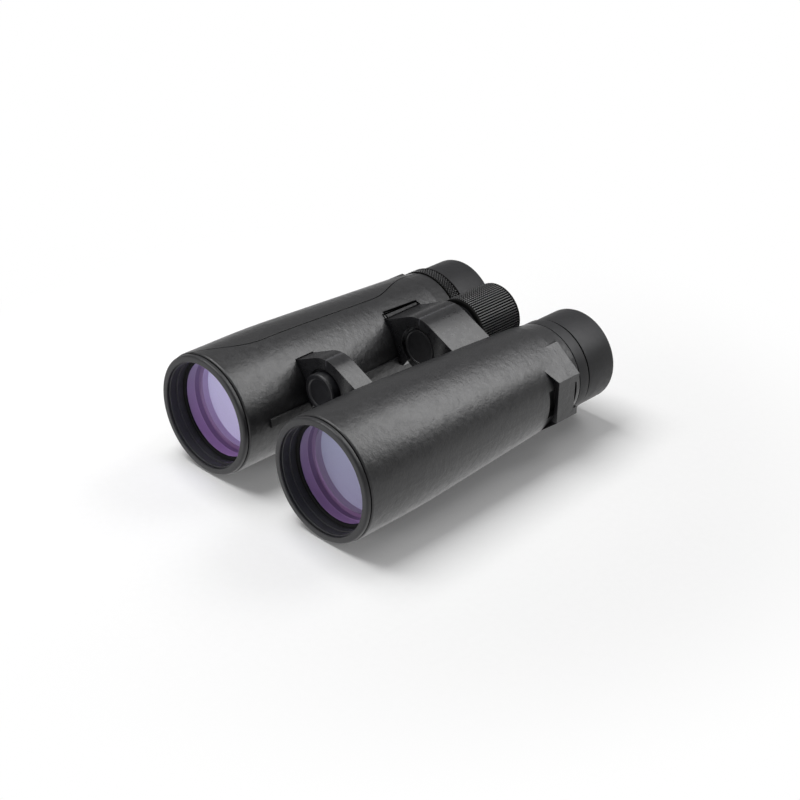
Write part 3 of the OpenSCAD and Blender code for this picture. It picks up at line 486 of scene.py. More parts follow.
def painted_inner_reflection(side):
    """Many-layered blue coating, its colour a painted reflection of the white floor: bluer at the top of the
    lens and more violet at its bottom, with a soft mirror image of the room over it."""
    material, tree, place = new_material(f"Blue-coated {side} inner lens")
    tone = painted_lens_light(tree, place, side)
    body = add(tree, "ShaderNodeBsdfDiffuse", {"Color": tone}).outputs[0]
    soft = {"Metallic": 1.0, "Roughness": 0.5, "Base Color": tone}
    mirror = add(tree, "ShaderNodeBsdfPrincipled", soft).outputs[0]
    shader = add(tree, "ShaderNodeMixShader", {0: 0.1, 1: body, 2: mirror})
    add(tree, "ShaderNodeOutputMaterial", {"Surface": shader.outputs[0]})
    return material


def floor_paper():
    """White seamless paper: it keeps the object's soft shadow, and is plain white further out and in mirror
    images."""
    material, tree, place = new_material("White seamless paper")
    fibres = add(tree, "ShaderNodeTexNoise", {"Scale": 1 / (3 * MM), "Detail": 3.0, "Vector": place})
    whites = {0: fibres.outputs["Fac"], 6: shade(colours().paper, 0.97), 7: colours().paper}
    tone = add(tree, "ShaderNodeMix", {"data_type": "RGBA", **whites}).outputs[2]
    matt = add(tree, "ShaderNodeBsdfDiffuse", {"Color": tone})
    lift = add(tree, "ShaderNodeEmission", {"Color": WHITE, "Strength": 0.06})
    paper = add(tree, "ShaderNodeAddShader", {0: matt.outputs[0], 1: lift.outputs[0]}).outputs[0]
    white = add(tree, "ShaderNodeEmission", {"Color": WHITE, "Strength": 1.0}).outputs[0]
    middle = add(tree, "ShaderNodeVectorMath", {"operation": "LENGTH", 0: place}).outputs["Value"]
    near, far = SHADOW_REACH
    fade = {"interpolation_type": "SMOOTHSTEP", "From Min": near, "From Max": far, "Value": middle}
    outer = add(tree, "ShaderNodeMapRange", fade).outputs[0]
    path = add(tree, "ShaderNodeLightPath").outputs
    plain = {"operation": "MULTIPLY", 0: path["Is Camera Ray"], 1: outer}
    direct = add(tree, "ShaderNodeMath", plain).outputs[0]
    images = {"operation": "MAXIMUM", 0: path["Is Glossy Ray"], 1: path["Is Transmission Ray"]}
    mirrored = add(tree, "ShaderNodeMath", images).outputs[0]
    shown = add(tree, "ShaderNodeMath", {"operation": "MAXIMUM", 0: direct, 1: mirrored}).outputs[0]
    shader = add(tree, "ShaderNodeMixShader", {0: shown, 1: paper, 2: white})
    add(tree, "ShaderNodeOutputMaterial", {"Surface": shader.outputs[0]})
    return material


MADE = {}


def finish(maker, *choice):
    """The material that a maker function builds for this choice, built once."""
    key = (maker.__name__, *choice)
    if key not in MADE:
        MADE[key] = maker(*choice)
    return MADE[key]


def paint_node(node, maker):
    """Gives a CAD node a better finish, its mesh left as it is."""
    for slot in frame["nodes"][node].material_slots:
        slot.material = finish(maker)


# ---- Turned pieces ----


def axis_of(node):
    """A turned node's axis (x, z), its front and rear y and its outer radius, all from its box."""
    low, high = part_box(node)
    return ((low.x + high.x) / 2, (low.z + high.z) / 2), low.y, high.y, (high.x - low.x) / 2


def rounded(profile):
    """Turns each corner (along, out, rounding) of a closed profile into an arc."""
    points = []
    for i, corner in enumerate(profile):
        here = Vector(corner[:2])
        radius = corner[2] if len(corner) > 2 else 0.0
        if not radius:
            points.append(here)
            continue
        back = Vector(profile[i - 1][:2]) - here
        ahead = Vector(profile[(i + 1) % len(profile)][:2]) - here
        half = back.angle(ahead) / 2
        reach = min(radius / math.tan(half), 0.49 * back.length, 0.49 * ahead.length)
        radius = reach * math.tan(half)
        centre = here + (back.normalized() + ahead.normalized()).normalized() * radius / math.sin(half)
        first = here + back.normalized() * reach - centre
        last = here + ahead.normalized() * reach - centre
        for k in range(ARC_STEPS + 1):
            points.append(centre + first.lerp(last, k / ARC_STEPS).normalized() * radius)
    return points


def turned_row(form, axis, along, out, turns):
    """The corners that a profile point makes: a ring, or on the axis a single one counted all round."""
    if out < ON_AXIS:
        return [form.verts.new((axis[0], along, axis[1]))] * turns
    angles = [2 * math.pi * j / turns for j in range(turns)]
    return [form.verts.new((axis[0] + out * math.cos(a), along, axis[1] + out * math.sin(a))) for a in angles]


def turn(name, profile, axis, turns=TURNS, zones=None):
    """Turns a profile of (along, out) points about an axis along y. The profile is closed, or ends on the
    axis. zones gives the material index of each stretch between profile points."""
    points = rounded(profile)
    form = bmesh.new()
    rows = [turned_row(form, axis, along, out, turns) for along, out in points]
    for i, row in enumerate(rows):
        following = (i + 1) % len(rows)
        after = rows[following]
        if points[i][1] < ON_AXIS and points[following][1] < ON_AXIS:
            continue
        for j in range(turns):
            beside = (j + 1) % turns
            corners = []
            for corner in (row[j], row[beside], after[beside], after[j]):
                if corner not in corners:
                    corners.append(corner)
            face = form.faces.new(corners)
            face.smooth = True
            if zones:
                face.material_index = zones[i]
    bmesh.ops.recalc_face_normals(form, faces=form.faces)
    mesh = bpy.data.meshes.new(name)
    form.to_mesh(mesh)
    form.free()
    mesh.set_sharp_from_angle(angle=SHARP_ANGLE)
    return mesh


def add_piece(name, mesh, materials, node):
    """Puts a piece in the scene on the body that a CAD node rides on."""
    for material in materials:
        mesh.materials.append(material)
    piece = bpy.data.objects.new(name, mesh)
    bpy.context.scene.collection.objects.link(piece)
    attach(piece, frame["nodes"][node]["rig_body"])
    return piece


def stand_in(name, mesh, materials, slot, *nodes):
    """Puts a piece in the scene in place of these CAD nodes, which ride on one body."""
    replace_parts(add_piece(name, mesh, materials, nodes[0]), *nodes)


# ---- Geometry Nodes ----


def new_tree(name, inputs):
    """A geometry tree with named inputs, each (name, socket kind, default), and its piece's two finishes."""
    tree = bpy.data.node_groups.new(name, "GeometryNodeTree")
    finishes = (("Material", "NodeSocketMaterial", None), ("Groove Material", "NodeSocketMaterial", None))
    tree.interface.new_socket("Geometry", in_out="INPUT", socket_type="NodeSocketGeometry")
    for label, kind, default in (*inputs, *finishes):
        socket = tree.interface.new_socket(label, in_out="INPUT", socket_type=kind)
        if default is not None:
            socket.default_value = default
    tree.interface.new_socket("Geometry", in_out="OUTPUT", socket_type="NodeSocketGeometry")
    return tree, add(tree, "NodeGroupInput").outputs


def close_tree(tree, given, teeth):
    """Joins the blank and its realised teeth, each with the material that the tree was given for it."""
    real = add(tree, "GeometryNodeRealizeInstances", {0: teeth}).outputs[0]
    dressed = add(tree, "GeometryNodeSetMaterial", {"Geometry": real, "Material": given["Material"]})
    blank = {"Geometry": given["Geometry"], "Material": given["Groove Material"]}
    floor = add(tree, "GeometryNodeSetMaterial", blank)
    join = add(tree, "GeometryNodeJoinGeometry")
    for shape in (floor.outputs[0], dressed.outputs[0]):
        tree.links.new(shape, join.inputs[0])
    add(tree, "NodeGroupOutput", {0: join.outputs[0]})
    return tree


def run_tree(tree, name, mesh, values):
    """Runs a tree on a blank and returns the plain mesh that it makes."""
    blank = bpy.data.objects.new(name, mesh)
    bpy.context.scene.collection.objects.link(blank)
    modifier = blank.modifiers.new(tree.name, "NODES")
    modifier.node_group = tree
    sockets = {
        item.name: item.identifier
        for item in tree.interface.items_tree
        if item.item_type == "SOCKET" and item.in_out == "INPUT"
    }
    finishes = {"Material": finish(grip_rubber), "Groove Material": finish(painted_groove_shade)}
    for label, value in {**values, **finishes}.items():
        modifier[sockets[label]] = value
    done = bpy.data.meshes.new_from_object(blank.evaluated_get(bpy.context.evaluated_depsgraph_get()))
    bpy.data.objects.remove(blank)
    done.name = name
    return done


def around(tree, given, angle):
    """A point at the given angle round the axis, and the turn about y that stands a tooth on it."""
    across = add(tree, "ShaderNodeMath", {"operation": "SINE", 0: angle}).outputs[0]
    up = add(tree, "ShaderNodeMath", {"operation": "COSINE", 0: angle}).outputs[0]
    spoke = add(tree, "ShaderNodeCombineXYZ", {"X": across, "Z": up}).outputs[0]
    arm = add(tree, "ShaderNodeVectorMath", {"operation": "SCALE", 0: spoke, "Scale": given["Radius"]})
    spin = add(tree, "ShaderNodeCombineXYZ", {"Y": angle})
    return arm.outputs[0], spin.outputs[0]


def on_points(tree, points, places, tooth, spin):
    """Copies of a tooth at the places of the points, each turned by spin."""
    spread = add(tree, "GeometryNodeSetPosition", {"Geometry": points.outputs[0], "Position": places})
    copies = {"Points": spread.outputs[0], "Instance": tooth.outputs[0], "Rotation": spin}
    return add(tree, "GeometryNodeInstanceOnPoints", copies).outputs[0]


def rib_tree():
    """Straight ribs along the axis, equally spaced round it, each notched across at even steps."""
    tree, given = new_tree(
        "Notched ribs",
        (
            ("Ribs", "NodeSocketInt", 72),
            ("Centre", "NodeSocketVector", None),
            ("Radius", "NodeSocketFloat", 0.01),
            ("Rib Size", "NodeSocketVector", None),
            ("Notches", "NodeSocketInt", 18),
            ("Notch Depth", "NodeSocketFloat", 0.0002),
        ),
    )
    points = add(tree, "GeometryNodePoints", {"Count": given["Ribs"]})
    index = add(tree, "GeometryNodeInputIndex").outputs[0]
    step = add(tree, "ShaderNodeMath", {"operation": "DIVIDE", 0: 2 * math.pi, 1: given["Ribs"]}).outputs[0]
    angle = add(tree, "ShaderNodeMath", {"operation": "MULTIPLY", 0: index, 1: step}).outputs[0]
    arm, spin = around(tree, given, angle)
    four_each = {"operation": "MULTIPLY_ADD", 0: given["Notches"], 1: 4.0, 2: 1.0}
    stations = add(tree, "ShaderNodeMath", four_each).outputs[0]
    size = {"Vertices X": 3, "Vertices Z": 2, "Size": given["Rib Size"], "Vertices Y": stations}
    bar = add(tree, "GeometryNodeMeshCube", size)
    place = add(tree, "GeometryNodeInputPosition").outputs[0]
    x, y, z = add(tree, "ShaderNodeSeparateXYZ", {0: place}).outputs
    length = add(tree, "ShaderNodeSeparateXYZ", {0: given["Rib Size"]}).outputs["Y"]
    pitch = add(tree, "ShaderNodeMath", {"operation": "DIVIDE", 0: length, 1: given["Notches"]}).outputs[0]
    notch = add(tree, "ShaderNodeMath", {"operation": "DIVIDE", 0: y, 1: pitch}).outputs[0]
    phase = add(tree, "ShaderNodeMath", {"operation": "MULTIPLY", 0: notch, 1: 2 * math.pi}).outputs[0]
    wave = add(tree, "ShaderNodeMath", {"operation": "COSINE", 0: phase}).outputs[0]
    dip = add(tree, "ShaderNodeMath", {"operation": "MULTIPLY_ADD", 0: wave, 1: -0.5, 2: -0.5}).outputs[0]
    sink = add(tree, "ShaderNodeMath", {"operation": "MULTIPLY", 0: dip, 1: given["Notch Depth"]}).outputs[0]
    pinch = add(tree, "ShaderNodeMath", {"operation": "MULTIPLY", 0: x, 1: -0.3}).outputs[0]
    move = add(tree, "ShaderNodeCombineXYZ", {"X": pinch, "Z": sink}).outputs[0]
    top = add(tree, "FunctionNodeCompare", {"operation": "GREATER_THAN", 0: z, 1: 0.0}).outputs[0]
    notched = {"Geometry": bar.outputs[0], "Selection": top, "Offset": move}
    rib = add(tree, "GeometryNodeSetPosition", notched)
    places = add(tree, "ShaderNodeVectorMath", {"operation": "ADD", 0: arm, 1: given["Centre"]}).outputs[0]
    return close_tree(tree, given, on_points(tree, points, places, rib, spin))


def knurl_tree():
    """Diamond knurling: rows of four-sided points, every other row set over by half a pitch."""
    tree, given = new_tree(
        "Diamond knurl",
        (
            ("Columns", "NodeSocketInt", 80),
            ("Rows", "NodeSocketInt", 5),
            ("Centre", "NodeSocketVector", None),
            ("Radius", "NodeSocketFloat", 0.02),
            ("Row Pitch", "NodeSocketFloat", 0.0008),
            ("Tooth Radius", "NodeSocketFloat", 0.0007),
            ("Tooth Height", "NodeSocketFloat", 0.0003),
        ),
    )
    columns = given["Columns"]
    total = add(tree, "ShaderNodeMath", {"operation": "MULTIPLY", 0: columns, 1: given["Rows"]}).outputs[0]
    points = add(tree, "GeometryNodePoints", {"Count": total})
    index = add(tree, "GeometryNodeInputIndex").outputs[0]
    share = add(tree, "ShaderNodeMath", {"operation": "DIVIDE", 0: index, 1: columns}).outputs[0]
    row = add(tree, "ShaderNodeMath", {"operation": "FLOOR", 0: share}).outputs[0]
    odd = add(tree, "ShaderNodeMath", {"operation": "MODULO", 0: row, 1: 2.0}).outputs[0]
    over = add(tree, "ShaderNodeMath", {"operation": "DIVIDE", 0: odd, 1: columns}).outputs[0]
    turn = add(tree, "ShaderNodeMath", {"operation": "FRACT", 0: share}).outputs[0]
    shift = add(tree, "ShaderNodeMath", {"operation": "MULTIPLY_ADD", 0: over, 1: 0.5, 2: turn}).outputs[0]
    angle = add(tree, "ShaderNodeMath", {"operation": "MULTIPLY", 0: shift, 1: 2 * math.pi}).outputs[0]
    arm, spin = around(tree, given, angle)
    along = add(tree, "ShaderNodeMath", {"operation": "MULTIPLY", 0: row, 1: given["Row Pitch"]}).outputs[0]
    shelf = add(tree, "ShaderNodeCombineXYZ", {"Y": along}).outputs[0]
    ring = add(tree, "ShaderNodeVectorMath", {"operation": "ADD", 0: arm, 1: shelf}).outputs[0]
    places = add(tree, "ShaderNodeVectorMath", {"operation": "ADD", 0: ring, 1: given["Centre"]}).outputs[0]
    size = {"Radius Bottom": given["Tooth Radius"], "Depth": given["Tooth Height"]}
    tooth = add(tree, "GeometryNodeMeshCone", {"Vertices": 4, "Radius Top": 0.0001, **size})
    return close_tree(tree, given, on_points(tree, points, places, tooth, spin))


# ---- Sizes and colours ----


def length_control(name, description, default, low, high):
    """A length in millimetres that a user can change."""
    return bpy.props.FloatProperty(
        name=name,
        description=description,
        default=default * MM,
        min=low * MM,
        max=high * MM,
        precision=5,
        unit="LENGTH",
    )


def count_control(name, description, default, low, high):
    return bpy.props.IntProperty(name=name, description=description, default=default, min=low, max=high)


def colour_control(name, description, code):
    """A colour that a user can change, which starts at an sRGB hex colour."""
    return bpy.props.FloatVectorProperty(
        name=name, description=description, default=linear(code), size=4, min=0, max=1, subtype="COLOR"
    )


class BinocularSizes(bpy.types.PropertyGroup):
    soft_edge: length_control(
        "Soft edge", "Rounding that the paint and rubber show on moulded edges", 0.3, 0.05, 1
    )
    rim_round: length_control("Rim rounding", "Rounding of the outer edge of the objective rims", 0.9, 0.3, 1)
    crown_front: length_control(
        "Front lens radius", "Radius of curvature of the front face of the objective", 90, 60, 200
    )
    inner_front: length_control(
        "Inner lens radius", "Radius of curvature of the hollow face of the inner lens", 55, 40, 200
    )
    grip_ribs: count_control("Grip ribs", "Number of ribs round the focus wheel", 72, 48, 96)
    grip_notches: count_control("Grip notches", "Number of shallow cuts across each rib", 18, 6, 30)
    knurl_columns: count_control("Knurl columns", "Knurl points round the dioptre ring", 96, 60, 140)
    knurl_rows: count_control("Knurl rows", "Number of knurl rows along the dioptre ring", 6, 3, 9)


class BinocularColours(bpy.types.PropertyGroup):
    armour: colour_control("Armour rubber", "Grained rubber over the barrels", "#141416")
    rim: colour_control("Rim rubber", "Smooth rubber rims round the objectives", "#202022")
    eyecup: colour_control("Eyecup rubber", "Satin rubber of the eyecups and the plain ring", "#19191b")
    grip: colour_control("Grip rubber", "Rubber of the focus wheel and the dioptre ring", "#1a1a1c")
    # Grooves is painted shade: a near-black copy of the grip rubber at the foot of ribs and knurls and in the
    # gaps beside the rings.
    groove: colour_control("Grooves", "Foot of the ribs and knurls and the gaps beside the rings", "#060606")
    enamel: colour_control("Bridge enamel", "Paint on the two bridges", "#1a1a1c")
    casting: colour_control("Casting paint", "Matt paint on the housings", "#121214")
    plastic: colour_control("Plastic", "Moulded caps and eyecup cores", "#17171a")
    flat_black: colour_control("Flat black", "Rings that hold the front lenses", "#0a0a0b")
    anodising: colour_control("Anodising", "Black anodised cells and rings", "#232327")
    front_coating: colour_control("Front coating", "Reflection of the front lens face", "#d0b4ee")
    # The middle coating's matt share is painted sheen in this tint.
    middle_coating: colour_control(
        "Middle coating", "Reflection of the rear face of the front lens pair", "#dad4f2"
    )
    # The edge, spacer and inner lens colours below are painted light and reflection from inside the lenses,
    # bluer towards the top; the right spacer and inner lens are painted paler, as the right barrel catches
    # more light.
    crown_high: colour_control("Crown edge, top", "Ground edge of the front lens towards the top", "#a29cb4")
    crown_low: colour_control(
        "Crown edge, bottom", "Ground edge of the front lens towards the bottom", "#bd8fc9"
    )
    flint_high: colour_control("Flint edge, top", "Inked edge of the second lens towards the top", "#87779b")
    flint_low: colour_control(
        "Flint edge, bottom", "Inked edge of the second lens towards the bottom", "#8a6693"
    )
    left_spacer_high: colour_control(
        "Left spacer, top", "Ring behind the left front lenses towards its top", "#7f7d8c"
    )
    left_spacer_low: colour_control(
        "Left spacer, bottom", "Ring behind the left front lenses towards its bottom", "#8a7690"
    )
    right_spacer_high: colour_control(
        "Right spacer, top", "Ring behind the right front lenses towards its top", "#b5a9c9"
    )
    right_spacer_low: colour_control(
        "Right spacer, bottom", "Ring behind the right front lenses towards its bottom", "#b399c2"
    )
    left_high: colour_control(
        "Left inner lens, top", "Coating of the left inner lens towards its top", "#a4b4c4"
    )
    left_low: colour_control(
        "Left inner lens, bottom", "Coating of the left inner lens towards its bottom", "#a6a6c0"
    )
    right_high: colour_control(
        "Right inner lens, top", "Coating of the right inner lens towards its top", "#d8dcf6"
    )
    right_low: colour_control(
        "Right inner lens, bottom", "Coating of the right inner lens towards its bottom", "#d8d2f2"
    )
    paper: colour_control("Paper", "White paper that the binoculars stand on", "#f8f8f8")


# ---- Operators ----


class BINO_OT_armour(bpy.types.Operator):
    """Give the two armoured barrels their grained rubber and painted castings"""

    bl_idname = "bino.armour"
    bl_label = "Armoured barrels"

    def execute(self, context):
        for side in SIDES:
            paint_node(f"{side}_armour", armour_rubber)
            paint_node(f"{side}_housing", housing_paint)
            paint_node(f"{side}_prism_holder", housing_paint)
        return {"FINISHED"}


class BINO_OT_objective_rims(bpy.types.Operator):
    """Turn the rounded rubber rims round the objectives"""

    bl_idname = "bino.objective_rims"
    bl_label = "Objective rims"

    def execute(self, context):
        for side in SIDES:
            node = f"{side}_objective_rim"
            axis, front, rear, out = axis_of(node)
            hole = out - 3.0 * MM
            tube = out - 1.35 * MM
            face = front + 1.2 * MM
            profile = (
                (front, hole, 0.35 * MM),
                (front, out, sizes().rim_round),
                (rear, out, 0.25 * MM),
                (rear, tube),
                (face, tube),
                (face, hole),
            )
            stand_in(f"{node}_turned", turn(node, profile, axis), (finish(rim_rubber),), "rim_rubber", node)
        return {"FINISHED"}


def turned_cell(side):
    """The blackened cell that holds a barrel's front lenses, with a shallow groove in its mouth."""
    node = f"{side}_objective_cell"
    axis, front, rear, out = axis_of(node)
    mouth = out - 0.8 * MM
    pocket = mouth - 0.9 * MM
    bore = pocket - 1.1 * MM
    lens_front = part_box(f"{side}_objective_retainer")[1].y
    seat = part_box(f"{side}_objective_flint")[1].y
    profile = (
        (front, out, 0.2 * MM),
        (rear, out, 0.2 * MM),
        (rear, bore, 0.2 * MM),
        (seat, bore),
        (seat, pocket),
        (lens_front, pocket),
        (lens_front, mouth),
        (front + 4.2 * MM, mouth, 0.15 * MM),
        (front + 4.0 * MM, mouth + 0.4 * MM),
        (front + 2.6 * MM, mouth + 0.4 * MM),
        (front + 2.4 * MM, mouth, 0.15 * MM),
        (front, mouth, 0.3 * MM),
    )
    black = (finish(black_anodising),)
    stand_in(f"{node}_turned", turn(node, profile, axis), black, "blackened_aluminium", node)


def turned_retainer(side):
    """The flat black ring screwed up to a barrel's front lens."""
    node = f"{side}_objective_retainer"
    axis, front, rear, out = axis_of(node)
    lip = out - 1.5 * MM
    profile = (
        (rear, out),
        (rear, out - 0.9 * MM),
        (rear - 0.3 * MM, lip),
        (front + 0.5 * MM, lip + 0.1 * MM, 0.2 * MM),
        (front, out, 0.2 * MM),
    )
    black = (finish(flat_anodising),)
    stand_in(f"{node}_turned", turn(node, profile, axis), black, "blackened_aluminium", node)


class BINO_OT_objective_cells(bpy.types.Operator):
    """Turn the blackened lens cells and the rings that hold the lenses"""

    bl_idname = "bino.objective_cells"
    bl_label = "Objective cells"

    def execute(self, context):
        for side in SIDES:
            turned_cell(side)
            turned_retainer(side)
        return {"FINISHED"}


def cap_line(out, radius, steps):
    """Points (fall, out) on a domed face from its middle to its edge; the middle falls by nothing."""
    reaches = [out * k / steps for k in range(steps + 1)]
    return [(radius - math.sqrt(radius * radius - r * r), r) for r in reaches]


def inner_lens(side, front, place):
    """The hollow-faced lens behind the front pair, its edge at the given place along the tube, and the spacer
    that holds it off the pair, painted pale with the light in the lens."""
    axis, _, _, out = axis_of(f"{side}_objective_cell")
    rim = out - 3.0 * MM
    hollow = cap_line(rim, sizes().inner_front, HOLLOW_STEPS)
    edge = place + hollow[-1][0]
    spacer = rim + 0.18 * MM
    rear = edge + 1.2 * MM
    profile = [(edge - a, r) for a, r in hollow] + [
        (front, rim + 0.1 * MM),
        (front, spacer),
        (rear, spacer),
        (rear, 0.0),
    ]
    return turn("inner_lens", profile, axis, zones=[0] * HOLLOW_STEPS + [1, 1, 1, 1, 0])


class BINO_OT_glass(bpy.types.Operator):
    """Grind the coated objective pairs and inner lenses, and polish the rest of the glass"""

    bl_idname = "bino.glass"
    bl_label = "Lenses and prisms"

    def execute(self, context):
        for side in SIDES:
            crown, flint = f"{side}_objective_crown", f"{side}_objective_flint"
            axis, front, _, out = axis_of(crown)
            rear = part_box(flint)[1].y
            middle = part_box(f"{side}_objective_retainer")[1].y + 4.4 * MM
            groove, bevel = 0.12 * MM, 1.05 * MM
            face = cap_line(out - 0.1 * MM, sizes().crown_front, CROWN_STEPS)
            profile = [(front + a, r) for a, r in face] + [
                (middle - groove, out),
                (middle, out - groove),
                (middle + groove, out),
                (rear - bevel, out),
                (rear, out - bevel),
                (rear, 0.0),
            ]
            stand_in(
                f"{side}_objective_pair_ground",
                turn("objective_pair", profile, axis, zones=[0] * CROWN_STEPS + [1, 1, 2, 2, 2, 3, 0]),
                [finish(maker) for maker in (violet_coating, crown_edge, flint_edge, lavender_coating)],
                "coated_glass",
                crown,
                flint,
            )
            add_piece(
                f"{side}_inner_lens_ground",
                inner_lens(side, rear + 0.05 * MM, rear + 3.0 * MM),
                (finish(painted_inner_reflection, side), finish(lens_spacer, side)),
                crown,
            )
            for node in ("focus_lens", "field_lens", "eye_lens"):
                paint_node(f"{side}_{node}", lens_coating)
            for node in ("roof_prism", "half_penta_prism"):
                paint_node(f"{side}_{node}", prism_glass)
        return {"FINISHED"}


def hinge_cover(node, profile, axis):
    """A turned plastic cover on an end of the hinge."""
    stand_in(f"{node}_turned", turn(node, profile, axis), (finish(hinge_plastic),), "black_plastic", node)


class BINO_OT_bridges(bpy.types.Operator):
    """Enamel the two bridges and turn the covers of the hinge"""

    bl_idname = "bino.bridges"
    bl_label = "Bridges and hinge"

    def execute(self, context):
        for side in SIDES:
            for place in ("front", "rear"):
                paint_node(f"{side}_{place}_arm", bridge_enamel)
        axis, front, rear, out = axis_of("front_hinge_cap")
        dish = front + 0.5 * MM
        profile = (
            (dish, 0.0),
            (dish, out - 2.4 * MM, 0.3 * MM),
            (front, out - 1.9 * MM, 0.3 * MM),
            (front, out, 0.8 * MM),
            (rear, out),
            (rear, 0.0),
        )
        hinge_cover("front_hinge_cap", profile, axis)
        axis, front, rear, out = axis_of("rear_hinge_disc")
        dish = front + 0.3 * MM
        profile = (
            (dish, 0.0),
            (dish, out - 1.1 * MM, 0.2 * MM),
            (front, out - 0.9 * MM, 0.2 * MM),
            (front, out, 0.4 * MM),
            (rear, out),
            (rear, 0.0),
        )
        hinge_cover("rear_hinge_disc", profile, axis)
        for node in ("front_axle", "rear_hinge_sleeve"):
            paint_node(node, turned_steel)
        return {"FINISHED"}


class BINO_OT_focus_wheel(bpy.types.Operator):
    """Rib the rubber grip of the focus wheel and finish its core, cap and drive"""

    bl_idname = "bino.focus_wheel"
    bl_label = "Focus wheel and drive"

    def execute(self, context):
        node = "focus_wheel_grip"
        axis, front, rear, out = axis_of(node)
        rim, plain, root = 1.3 * MM, out - 0.15 * MM, out - 0.8 * MM
        shoulder = plain - 0.2 * MM
        bore = out - 2.3 * MM
        profile = (
            (front, bore),
            (front, shoulder, 0.7 * MM),
            (front + rim, plain, 0.2 * MM),
            (front + rim, root),
            (rear - rim, root),
            (rear - rim, plain, 0.2 * MM),
            (rear, shoulder, 0.7 * MM),
            (rear, bore),
        )
        height = 0.9 * MM
        ribs = {
            "Ribs": sizes().grip_ribs,
            "Centre": (axis[0], (front + rear) / 2, axis[1]),
            "Radius": out - height / 2,
            "Rib Size": (0.68 * MM, rear - front - 2 * rim + 0.1 * MM, height),
            "Notches": sizes().grip_notches,
            "Notch Depth": 0.3 * MM,
        }
        mesh = run_tree(rib_tree(), node, turn(node, profile, axis, turns=GRIP_TURNS), ribs)
        stand_in(f"{node}_ribbed", mesh, (), "grip_rubber", node)
        paint_node("focus_wheel_core", black_anodising)
        paint_node("focus_wheel_cap", hinge_plastic)
        paint_node("focus_shaft", turned_steel)
        paint_node("focus_carriage", turned_brass)
        paint_node("shaft_bearing", turned_brass)
        for side in SIDES:
            paint_node(f"{side}_focus_cell", black_anodising)
        return {"FINISHED"}


def plain_ring():
    """The smooth ring of the left eyepiece, a gap at each end of it darkened with painted shade."""
    node = "left_eyepiece_ring"
    axis, front, rear, out = axis_of(node)
    bore, foot, gap, crisp = out - 3.3 * MM, out - 1.6 * MM, 0.3 * MM, 0.08 * MM
    profile = (
        (front, bore),
        (front, foot),
        (front + gap, foot),
        (front + gap, out, crisp),
        (rear - gap, out, crisp),
        (rear - gap, foot),
        (rear, foot),
        (rear, bore),
    )
    zones = [1, 1] + [0] * (len(rounded(profile)) - 5) + [1, 1, 0]
    rubber = (finish(eyecup_rubber), finish(painted_groove_shade))
    stand_in(f"{node}_turned", turn(node, profile, axis, zones=zones), rubber, "armour_rubber", node)


def dioptre_ring():
    """The knurled ring of the right eyepiece, between two plain rims."""
    node = "right_dioptre_ring"
    axis, front, rear, out = axis_of(node)
    rim, plain, root = 0.6 * MM, out - 0.1 * MM, out - 0.5 * MM
    bore = out - 3.9 * MM
    profile = (
        (front, bore),
        (front, plain, 0.25 * MM),
        (front + rim, plain, 0.15 * MM),
        (front + rim, root),
        (rear - rim, root),
        (rear - rim, plain, 0.15 * MM),
        (rear, plain, 0.25 * MM),
        (rear, bore),
    )
    rows = sizes().knurl_rows
    pitch = (rear - front - 2 * rim) / rows
    knurl = {
        "Columns": sizes().knurl_columns,
        "Rows": rows,
        "Centre": (axis[0], front + rim + pitch / 2, axis[1]),
        "Radius": root,
        "Row Pitch": pitch,
        "Tooth Radius": 0.62 * MM,
        "Tooth Height": 0.5 * MM,
    }
    mesh = run_tree(knurl_tree(), node, turn(node, profile, axis, turns=KNURL_TURNS), knurl)
    stand_in(f"{node}_knurled", mesh, (), "armour_rubber", node)


def eyecup(side):
    """A barrel's rubber eyecup, with a gap at its front where it meets the guide, darkened with painted
    shade.
    """
    node = f"{side}_eyecup_rubber"
    axis, front, rear, out = axis_of(node)
    core = out - 1.45 * MM
    foot = core + 0.15 * MM
    hole = out - 6.05 * MM
    end = rear - 2.6 * MM
    gap_end = front + 0.5 * MM
    profile = (
        (front, core),
        (front, foot),
        (gap_end, foot),
        (gap_end, out, 0.08 * MM),
        (rear, out, 2.2 * MM),
        (rear, hole, 0.8 * MM),
        (end, hole),
        (end, core),
    )
    zones = [1, 1, 1] + [0] * (len(rounded(profile)) - 3)
    rubber = (finish(eyecup_rubber), finish(painted_groove_shade))
    stand_in(f"{node}_turned", turn(node, profile, axis, zones=zones), rubber, "eyecup_rubber", node)


class BINO_OT_eyepieces(bpy.types.Operator):
    """Turn the eyecups and the eyepiece ring, and knurl the dioptre ring"""

    bl_idname = "bino.eyepieces"
    bl_label = "Eyepieces"

    def execute(self, context):
        plain_ring()
        dioptre_ring()
        for side in SIDES:
            eyecup(side)
            for inner in ("eyecup_core", "eyecup_guide"):
                paint_node(f"{side}_{inner}", hinge_plastic)
            for inner in ("ocular_tube", "ocular_cell"):
                paint_node(f"{side}_{inner}", black_anodising)
        return {"FINISHED"}


def lay_floor(scene):
    form = bmesh.new()
    bmesh.ops.create_circle(form, cap_ends=True, segments=96, radius=PAPER_RADIUS)
    mesh = bpy.data.meshes.new("floor")
    form.to_mesh(mesh)
    form.free()
    mesh.materials.append(finish(floor_paper))
    floor = bpy.data.objects.new("floor", mesh)
    scene.collection.objects.link(floor)


